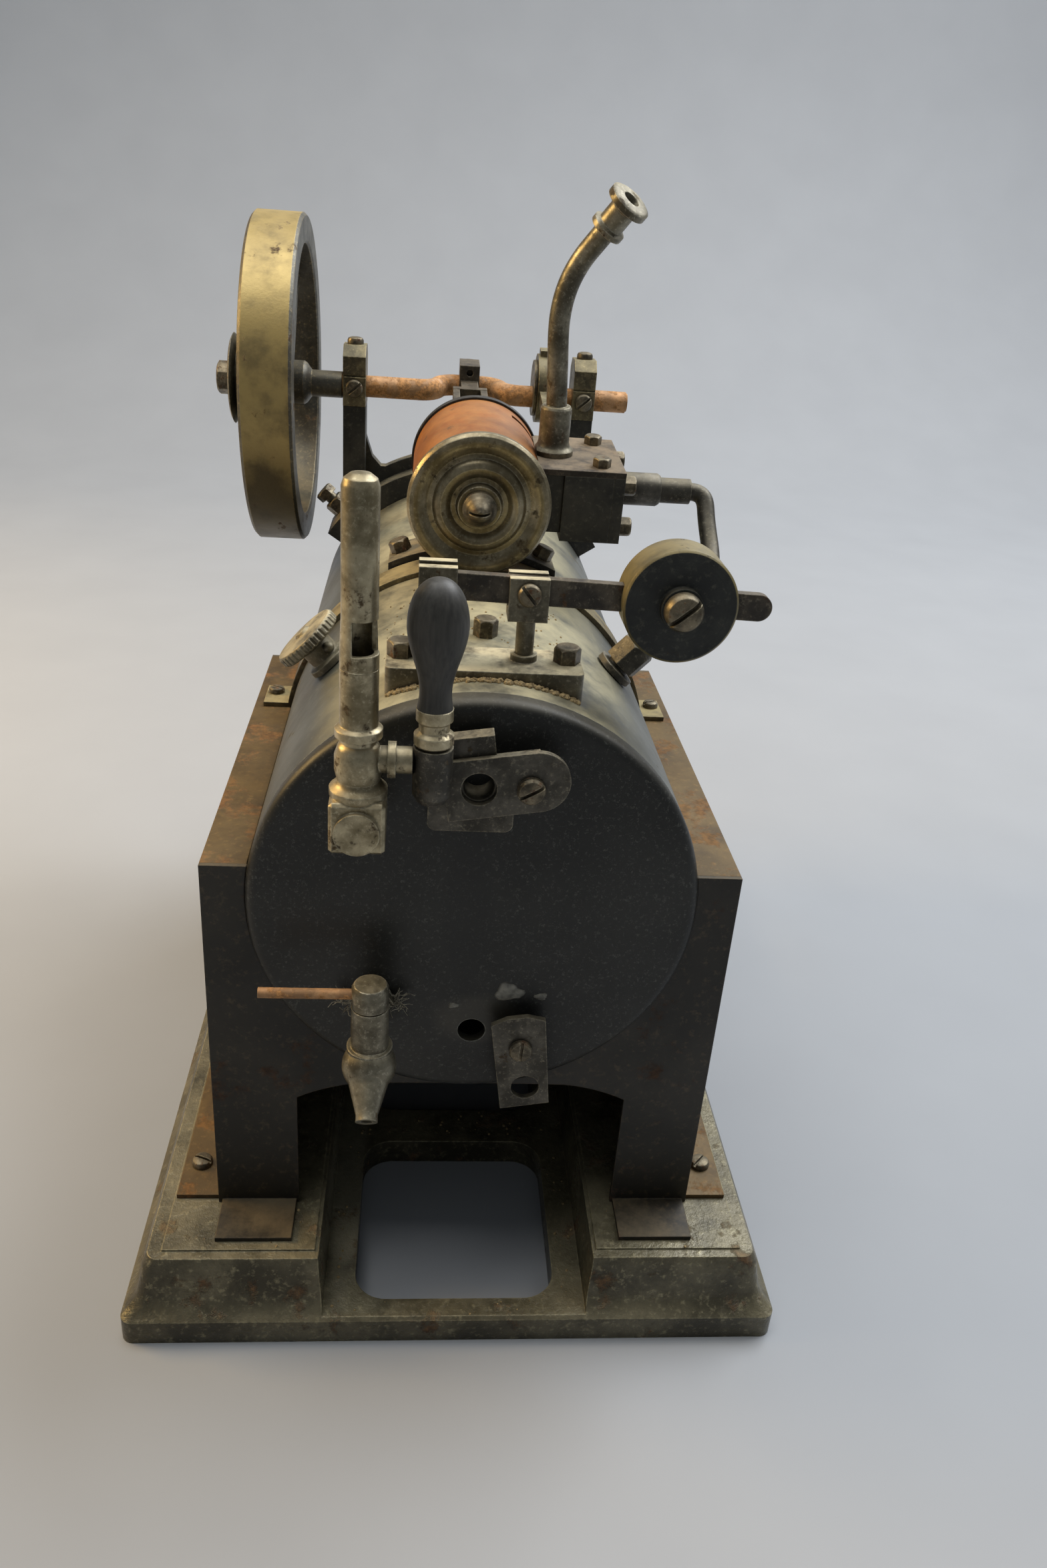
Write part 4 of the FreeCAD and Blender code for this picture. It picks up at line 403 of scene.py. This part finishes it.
# %% Nickel-plated fittings
dress(aged_metal("worn_nickel_on_brass", "b3a789", "72684f", "5d4c31", "a0957a", "ddd3b4",
                 metallic=0.78, roughness=0.34, patch_mm=8, speck_mm=1.0, rust_cover=0.2,
                 dust_cover=0.35, edge_wear=0.8, pit_mm=0.03, painted_corner_shade=1.0, seed=12.0), "whistle_bell",
      "whistle_body", "handle_ferrule")
dress(aged_metal("nickel_gone_grey", "837d6b", "4b4638", "54452f", "9b9276", "cfc7b0",
                 metallic=0.65, roughness=0.38, patch_mm=7, speck_mm=0.9, rust_cover=0.2,
                 dust_cover=0.5, edge_wear=0.9, pit_mm=0.04, painted_corner_shade=1.0, seed=12.5), "exhaust_pipe",
      "exhaust_nozzle", "drain_cock_body", "drain_cock_plug")
dress(aged_metal("dull_nickel_plate", "7f7863", "504b3d", "5b4a32", "bcb293", "c3baa2",
                 metallic=0.5, roughness=0.42, patch_mm=8, speck_mm=1.0, rust_cover=0.15,
                 dust_cover=1.0, edge_wear=0.8, pit_mm=0.04, painted_corner_shade=1.0, seed=13.0),
      "safety_valve_block", "valve_stem", "filler_neck", "filler_cap", "belt_pulley")
dress(aged_metal("nickel_gone_black", "57534a", "38352e", "54452f", "8b826a", "a39b85",
                 metallic=0.6, roughness=0.42, patch_mm=7, speck_mm=0.9, rust_cover=0.15,
                 dust_cover=0.6, edge_wear=0.9, pit_mm=0.04, painted_corner_shade=1.0, seed=13.5),
      "gauge_rear_block", "gauge_front_plate", "lower_gauge_bracket", "whistle_valve_body",
      "steam_inlet", "steam_pipe", "boiler_union")
dress(aged_metal("brass_bearings_oiled", "7a6f52", "4a4435", "5b4428", "a39a78", "c0b184",
                 metallic=0.6, roughness=0.4, patch_mm=6, speck_mm=0.9, rust_cover=0.15,
                 dust_cover=0.5, edge_wear=0.8, pit_mm=0.03, painted_corner_shade=1.0, seed=13.8),
      "bearing_blocks", "eccentric_strap")
# the cylinder slopes down from the shaft, and its cover lies this far along the slope
slope, cover_reach = math.radians(5), 0.1185
cover_at = (0.0, SHAFT_Y - cover_reach * math.cos(slope), SHAFT_Z - cover_reach * math.sin(slope))
dress(aged_metal("turned_nickel_cover", "9c9176", "665c45", "52442c", "8b826c", "e2d8ba",
                 metallic=0.75, roughness=0.3, patch_mm=8, speck_mm=1.0, rust_cover=0.2,
                 dust_cover=0.25, edge_wear=1.0, pit_mm=0.02, painted_corner_shade=1.0, seed=14.0, speckle=0.6,
                 rings=(cover_at, -slope)), "front_cover", "rear_cover")
dress(aged_metal("dull_brass", "84714a", "56492f", "5b4428", "8b8067", "b7a271", metallic=0.8,
                 roughness=0.4, patch_mm=6, rust_cover=0.1, dust_cover=0.2, seed=15.0), "piston",
      "slide_valve")

# %% [markdown]
# ## Weight: turned iron disc, blued face and brassy rim
# The rim was lacquered like the flywheel and the face was blued, so one material tells
# them apart by how far a face's plane lies from the disc's middle.

# %% Lever weight
weight_at = (0.0404, -0.0884, 0.1786)
dress(aged_metal("blued_iron_disc", "33342f", "242523", "3c332a", "6b6554", "6a6858", metallic=0.35,
                 roughness=0.42, patch_mm=9, speck_mm=1.5, rust_cover=0.1, dust_cover=0.35,
                 edge_wear=0.6, pit_mm=0.03, seed=16.0, rings=(weight_at, 0.0),
                 rim=(weight_at, 0.011, "857850", "5f573c")), "lever_weight")

# %% [markdown]
# ## Handle: turned beech, ebonised and rubbed
# The dye hides the wood's colour but not its grain, which runs along the handle. The
# noise is squeezed across the grain and stretched along it.

# %% Ebonised handle
FIBRE_MM = 0.7  # wider than in life, so that the grain shows


def ebonised_beech():
    made, tree = blank_material("ebonised_turned_beech")
    where = add(tree, "ShaderNodeTexCoord").outputs["Object"]
    along = add(tree, "ShaderNodeMapping", {0: where, 3: (1.0, 1.0, 0.08)})
    grain = add(tree, "ShaderNodeTexNoise", {"Vector": along.outputs[0], "Scale": cells(FIBRE_MM),
                "Detail": 4.0}).outputs[0]
    wear = add(tree, "ShaderNodeTexNoise", {"Vector": where, "Scale": cells(6.0),
               "Detail": 5.0}).outputs[0]
    tone = two_tones(tree, grain, 0.32, 0.68, "25231f", "3b3933")
    rubbed = remap(tree, wear, 0.45, 0.75, 0.0, 0.45)
    colour = mixed(tree, rubbed, tone, hex_colour("4c4a43"))
    gloss = remap(tree, wear, 0.3, 0.7, 0.46, 0.62)
    close_material(tree, colour, gloss, grain, strength=0.5, depth_mm=0.05)
    return made


dress(ebonised_beech(), "whistle_handle")

# %% [markdown]
# ## Hemp in the drain cock's joint
# The cock's thread was sealed with hemp, and a century on it has teased out in tufts.
# Fibres repeat, so Geometry Nodes scatters bent strands round a point.

# %% A tree for tufts
def plain_material(name, low_hex, high_hex, roughness, grain_mm):
    """A dry, matt stuff with a little drift between two tones."""
    made, tree = blank_material(name)
    where = add(tree, "ShaderNodeTexCoord").outputs["Object"]
    drift = add(tree, "ShaderNodeTexNoise", {"Vector": where, "Scale": cells(grain_mm),
                "Detail": 5.0}).outputs[0]
    tone = two_tones(tree, drift, 0.3, 0.7, low_hex, high_hex)
    close_material(tree, tone, roughness, drift, strength=0.6, depth_mm=0.1)
    return made


def tuft_tree(material):
    """Bent strands that spring from a small ball of roots."""
    root_spread, any_way, waver = 0.0012, 3.1, 0.004
    tree = bpy.data.node_groups.new("hemp_tuft", "GeometryNodeTree")
    for label, kind, value in (("Strands", "NodeSocketInt", 40),
                               ("Reach", "NodeSocketFloat", 0.004),
                               ("Fibre radius", "NodeSocketFloat", 0.00008),
                               ("Centre", "NodeSocketVector", None), ("Seed", "NodeSocketInt", 1)):
        socket = tree.interface.new_socket(label, in_out="INPUT", socket_type=kind)
        if value is not None:
            socket.default_value = value
    tree.interface.new_socket("Geometry", in_out="OUTPUT", socket_type="NodeSocketGeometry")
    start = add(tree, "NodeGroupInput").outputs
    spread = add(tree, "FunctionNodeRandomValue", {0: (-root_spread,) * 3, 1: (root_spread,) * 3,
                 "Seed": start["Seed"]}, data_type="FLOAT_VECTOR")
    roots = add(tree, "GeometryNodePoints", {"Count": start["Strands"],
                                             "Position": spread.outputs[0]})
    tip = add(tree, "ShaderNodeCombineXYZ", {2: start["Reach"]})
    line = add(tree, "GeometryNodeCurvePrimitiveLine", {"End": tip.outputs[0]})
    bent = add(tree, "GeometryNodeResampleCurve", {"Curve": line.outputs[0], "Count": 6})
    turn = add(tree, "FunctionNodeRandomValue", {0: (-any_way,) * 3, 1: (any_way,) * 3,
                                                 "Seed": start["Seed"]}, data_type="FLOAT_VECTOR")
    size = add(tree, "FunctionNodeRandomValue", {2: 0.35, 3: 1.0, "Seed": start["Seed"]})
    strands = add(tree, "GeometryNodeInstanceOnPoints",
                  {"Points": roots.outputs[0], "Instance": bent.outputs[0],
                   "Rotation": turn.outputs[0], "Scale": size.outputs[1]})
    loose = add(tree, "GeometryNodeRealizeInstances", {"Geometry": strands.outputs[0]})
    wave = add(tree, "ShaderNodeTexNoise", {"Scale": 420.0, "Detail": 1.0})
    centred = add(tree, "ShaderNodeVectorMath", {0: wave.outputs[1], 1: (0.5, 0.5, 0.5)},
                  operation="SUBTRACT")
    push = add(tree, "ShaderNodeVectorMath", {0: centred.outputs[0], "Scale": waver},
               operation="SCALE")
    place = add(tree, "ShaderNodeVectorMath", {0: push.outputs[0], 1: start["Centre"]},
                operation="ADD")
    moved = add(tree, "GeometryNodeSetPosition", {"Geometry": loose.outputs[0],
                                                  "Offset": place.outputs[0]})
    ring = add(tree, "GeometryNodeCurvePrimitiveCircle",
               {"Resolution": 4, "Radius": start["Fibre radius"]})
    thick = add(tree, "GeometryNodeCurveToMesh", {"Curve": moved.outputs[0],
                                                  "Profile Curve": ring.outputs[0],
                                                  "Fill Caps": True})
    real = add(tree, "GeometryNodeRealizeInstances", {"Geometry": thick.outputs[0]})
    painted = add(tree, "GeometryNodeSetMaterial", {"Geometry": real.outputs[0],
                                                    "Material": material})
    add(tree, "NodeGroupOutput", {0: painted.outputs[0]})
    return tree


def grown(name, tree, seed_mesh, **values):
    """Run a tree once and keep its result as a plain mesh at the origin."""
    host = placed(name + "_host", seed_mesh)
    modifier = host.modifiers.new("grow", "NODES")
    modifier.node_group = tree
    for item in tree.interface.items_tree:
        if item.item_type == "SOCKET" and item.in_out == "INPUT" and item.name in values:
            modifier[item.identifier] = values[item.name]
    result = host.evaluated_get(bpy.context.evaluated_depsgraph_get())
    mesh = bpy.data.meshes.new_from_object(result)
    bpy.data.objects.remove(host)
    print(name, "has", len(mesh.polygons), "faces")
    return placed(name, mesh)


# %% Two tufts beside the cock
hemp = plain_material("hemp_packing_dry", "6f6a5c", "a39c88", 0.9, 1.5)
tuft = tuft_tree(hemp)
cock_low, cock_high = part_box("drain_cock_body")
cock_middle = (cock_low[0] + cock_high[0]) / 2
tuft_offset, tuft_forward, joint_height = 5.2 * MM, 2.2 * MM, 0.0895
for name, side, seed in (("hemp_tuft_left", -1, 4), ("hemp_tuft_right", 1, 9)):
    centre = (cock_middle + side * tuft_offset, head_front - tuft_forward, joint_height)
    made = grown(name, tuft, bpy.data.meshes.new("seed"), Strands=46, Reach=4.6 * MM,
                 Centre=centre, Seed=seed, **{"Fibre radius": 0.09 * MM})
    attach(made, "engine")

# %% [markdown]
# ## Solder and lime on the head
# A blown-out fitting was stopped with solder, which set in an uneven puddle. It is a
# disc whose outline wanders and whose height falls to nothing at the rim.

# %% Solder puddles
def puddle(centre, width, height, thickness, seed):
    """Closed, domed puddle lying on a wall that faces -Y."""
    chance = random.Random(seed)
    mesh = bmesh.new()
    rows, steps, lobes, sunk = 6, 28, 3, 0.05 * MM
    wobble = []
    for i in range(steps):
        wave = 0.16 * math.sin(lobes * 2 * math.pi * i / steps + seed)
        wobble.append(1 + wave + chance.uniform(-0.09, 0.09))
    top = mesh.verts.new((centre[0], centre[1] - thickness, centre[2]))
    under = mesh.verts.new((centre[0], centre[1] + sunk, centre[2]))
    shells = []
    for row in range(1, rows + 1):
        part = row / rows
        line = []
        for i in range(steps):
            turn = 2 * math.pi * i / steps
            lift = thickness * (1 - part ** 2.2) * (1 + chance.uniform(-0.18, 0.18))
            across = width / 2 * part * wobble[i] * math.cos(turn)
            upward = height / 2 * part * wobble[i] * math.sin(turn)
            line.append(mesh.verts.new((centre[0] + across, centre[1] - lift, centre[2] + upward)))
        shells.append(line)
    for i in range(steps):
        j = (i + 1) % steps
        mesh.faces.new((top, shells[0][i], shells[0][j]))
        for row in range(rows - 1):
            mesh.faces.new((shells[row][i], shells[row + 1][i], shells[row + 1][j], shells[row][j]))
        mesh.faces.new((under, shells[-1][j], shells[-1][i]))
    bmesh.ops.recalc_face_normals(mesh, faces=mesh.faces)
    for face in mesh.faces:
        face.smooth = True
    data = bpy.data.meshes.new("puddle")
    mesh.to_mesh(data)
    mesh.free()
    return data


solder = plain_material("old_lead_solder", "55534c", "8b887c", 0.6, 1.6)
thickness = 0.45 * MM
for name, x, z, width, height, seed in (("solder_patch", 8.9, 90.7, 6.4, 5.0, 2),
                                        ("lime_spot_right", 16.4, 89.6, 3.0, 2.0, 5),
                                        ("lime_spot_left", -3.6, 86.8, 2.6, 1.6, 8)):
    centre = (x * MM, head_front, z * MM)
    spot = placed(name, puddle(centre, width * MM, height * MM, thickness, seed))
    spot.data.materials.append(solder)
    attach(spot, "engine")
print("solder sits on the wall at y =", round(head_front * 1000, 1), "mm")

# %% [markdown]
# ## Crumbs of rust and soot
# Grit lies wherever it cannot roll off: in the trough, round the opening and along the
# crown of the boiler, and it has caked in front of the safety valve's block. A tree
# scatters pebbles of a few faces over thin guide sheets.

# %% A tree for crumbs
def crumb_tree(material):
    """Pebbles, strewn at random over the faces of a guide sheet."""
    tree = bpy.data.node_groups.new("crumbs_on_ledges", "GeometryNodeTree")
    tree.interface.new_socket("Geometry", in_out="INPUT", socket_type="NodeSocketGeometry")
    for label, kind, value in (("Per square metre", "NodeSocketFloat", 20000.0),
                               ("Smallest", "NodeSocketFloat", 0.0002),
                               ("Largest", "NodeSocketFloat", 0.0006),
                               ("Seed", "NodeSocketInt", 1)):
        tree.interface.new_socket(label, in_out="INPUT", socket_type=kind).default_value = value
    tree.interface.new_socket("Geometry", in_out="OUTPUT", socket_type="NodeSocketGeometry")
    start = add(tree, "NodeGroupInput").outputs
    spots = add(tree, "GeometryNodeDistributePointsOnFaces", {"Mesh": start["Geometry"],
                "Density": start["Per square metre"], "Seed": start["Seed"]})
    pebble = add(tree, "GeometryNodeMeshIcoSphere", {"Radius": 1.0, "Subdivisions": 1})
    turn = add(tree, "FunctionNodeRandomValue", {0: (0.0,) * 3, 1: (6.2,) * 3,
                                                 "Seed": start["Seed"]}, data_type="FLOAT_VECTOR")
    size = add(tree, "FunctionNodeRandomValue", {2: start["Smallest"], 3: start["Largest"],
                                                 "Seed": start["Seed"]})
    even = add(tree, "ShaderNodeCombineXYZ", {axis: size.outputs[1] for axis in range(3)})
    strewn = add(tree, "GeometryNodeInstanceOnPoints",
                 {"Points": spots.outputs[0], "Instance": pebble.outputs[0],
                  "Rotation": turn.outputs[0], "Scale": even.outputs[0]})
    real = add(tree, "GeometryNodeRealizeInstances", {"Geometry": strewn.outputs[0]})
    painted = add(tree, "GeometryNodeSetMaterial", {"Geometry": real.outputs[0],
                                                    "Material": material})
    add(tree, "NodeGroupOutput", {0: painted.outputs[0]})
    return tree


def strip(steps):
    """Faces between pairs of points that follow one another."""
    return [(2 * i, 2 * i + 1, 2 * i + 3, 2 * i + 2) for i in range(steps)]


def ledges(patches):
    """Flat guide sheets, given as (x0, x1, y0, y1, z) in millimetres."""
    data = bpy.data.meshes.new("ledges")
    points = []
    faces = []
    for x0, x1, y0, y1, z in patches:
        n = len(points)
        points += [(x * MM, y * MM, z * MM) for x, y in ((x0, y0), (x1, y0), (x1, y1), (x0, y1))]
        faces.append((n, n + 1, n + 2, n + 3))
    data.from_pydata(points, [], faces)
    return data


def crown(radius, angle, y0, y1):
    """Guide sheet bent over the crown of the boiler."""
    steps = 16
    data = bpy.data.meshes.new("crown")
    points = []
    for i in range(steps + 1):
        turn = math.radians(-angle + 2 * angle * i / steps)
        for y in (y0, y1):
            points.append((radius * math.sin(turn) * MM, y * MM,
                           (BOILER_HEIGHT + radius * math.cos(turn)) * MM))
    data.from_pydata(points, [], strip(steps))
    return data


BOILER_HEIGHT = 112.3
crumbs = crumb_tree(plain_material("rust_and_soot_grit", "5c4c34", "a8946a", 0.95, 0.8))
trough_z, shelf_z = 7.75, 22.15
floors = ledges([(-31.5, -25.6, -128, 10, trough_z), (25.6, 31.5, -128, 10, trough_z),
                 (-25, 25, -128.4, -124, trough_z), (-25, 25, -67.6, -56.6, trough_z),
                 (-57, -36, -120.6, -106.5, shelf_z), (36, 57, -120.6, -106.5, shelf_z)])
block_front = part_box("safety_valve_block")[0][1] * 1000
at_block = crown(50.1, 24, block_front - 1.6, block_front - 0.1)
along_top = crown(50.05, 26, -78, -22)
for name, guide, seed, smallest, largest, density in (
        ("crumbs_on_base", floors, 3, 0.12, 0.5, 42000.0),
        ("crust_before_block", at_block, 11, 0.25, 0.75, 5200000.0),
        ("crumbs_on_boiler", along_top, 6, 0.1, 0.34, 60000.0)):
    heap = grown(name, crumbs, guide, Seed=seed, Smallest=smallest * MM, Largest=largest * MM,
                 **{"Per square metre": density})
    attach(heap, "engine")

# %% [markdown]
# ## Stage: a sheet of paper, a window and a lamp
# The floor runs back and curves up, so no horizon shows. One broad soft light stands in
# for a window above, behind and to the right. Another fills in from the ceiling, and a
# weak warm lamp glows low on the left.

# %% Floor and backdrop
def paper_sweep():
    near, back, bend, top, half_width, steps = -3.0, 0.75, 0.5, 3.0, 4.0, 12
    data = bpy.data.meshes.new("paper_sweep")
    outline = [(near, 0.0), (back, 0.0)]
    for i in range(1, steps + 1):
        turn = math.radians(90 * i / steps)
        outline.append((back + bend * math.sin(turn), bend * (1 - math.cos(turn))))
    outline.append((back + bend, top))
    points = [(x, y, z) for y, z in outline for x in (-half_width, half_width)]
    data.from_pydata(points, [], strip(len(outline) - 1))
    for face in data.polygons:
        face.use_smooth = True
    return placed("paper_sweep", data)


sweep = paper_sweep()
sweep.data.materials.append(plain_material("matt_grey_paper", "94979b", "979a9e", 0.8, 60.0))

# %% Lights
lights = (("window", (0.8, 0.5, 1.3), (0.0, 0.0, 0.12), (1.1, 0.9), 28, (0.95, 0.97, 1.0)),
          ("ceiling", (-0.35, 0.05, 1.8), (0.0, 0.0, 0.1), (1.2, 1.2), 20, (1.0, 0.99, 0.96)),
          ("lamp", (-0.7, 0.1, 0.45), (-0.35, 0.1, 0.0), (0.3, 0.3), 5, (1.0, 0.66, 0.26)))
for name, at, towards, size, watts, colour in lights:
    lamp = bpy.data.lights.new(name, "AREA")
    lamp.shape = "RECTANGLE"
    lamp.size, lamp.size_y = size
    lamp.energy = watts
    lamp.color = colour
    made = placed(name, lamp)
    made.location = at
    made.rotation_euler = (Vector(towards) - Vector(at)).to_track_quat("-Z", "Y").to_euler()

room_colour, room_strength = (0.6, 0.64, 0.68, 1.0), 0.28
world = bpy.data.worlds.new("room")
world.use_nodes = True
background = world.node_tree.nodes["Background"]
background.inputs[0].default_value = room_colour
background.inputs[1].default_value = room_strength
bpy.context.scene.world = world
bpy.context.scene.view_settings.view_transform = "Standard"
print(len(lights), "lights and a grey room")

# %% [markdown]
# ## Camera
# It stands about a forearm's length in front, looks down steeply and leans a little to
# one side, with a short lens, so the base spreads towards the viewer and the flywheel
# falls back.

# %% Camera
def portrait_camera(at, yaw, pitch, roll, lens):
    """Angles in degrees: yaw turns right, pitch looks down, roll leans."""
    yaw, pitch, roll = (math.radians(v) for v in (yaw, pitch, roll))
    forward = Vector((math.sin(yaw) * math.cos(pitch), math.cos(yaw) * math.cos(pitch),
                      -math.sin(pitch)))
    right = Vector((math.cos(yaw), -math.sin(yaw), 0.0))
    up = right.cross(forward)
    leaned = right * math.cos(roll) + up * math.sin(roll)
    up = up * math.cos(roll) - right * math.sin(roll)
    data = bpy.data.cameras.new("portrait")
    data.sensor_fit = "VERTICAL"
    data.sensor_height = 36.0
    data.lens = lens
    data.clip_start = 0.01
    made = placed("portrait", data)
    made.rotation_euler = Matrix((leaned, up, -forward)).transposed().to_euler()
    made.location = at
    bpy.context.scene.camera = made


eye = (-13.66 * MM, -324.69 * MM, 251.76 * MM)
portrait_camera(eye, yaw=5.877, pitch=26.404, roll=4.5, lens=26.68)
print("camera set")
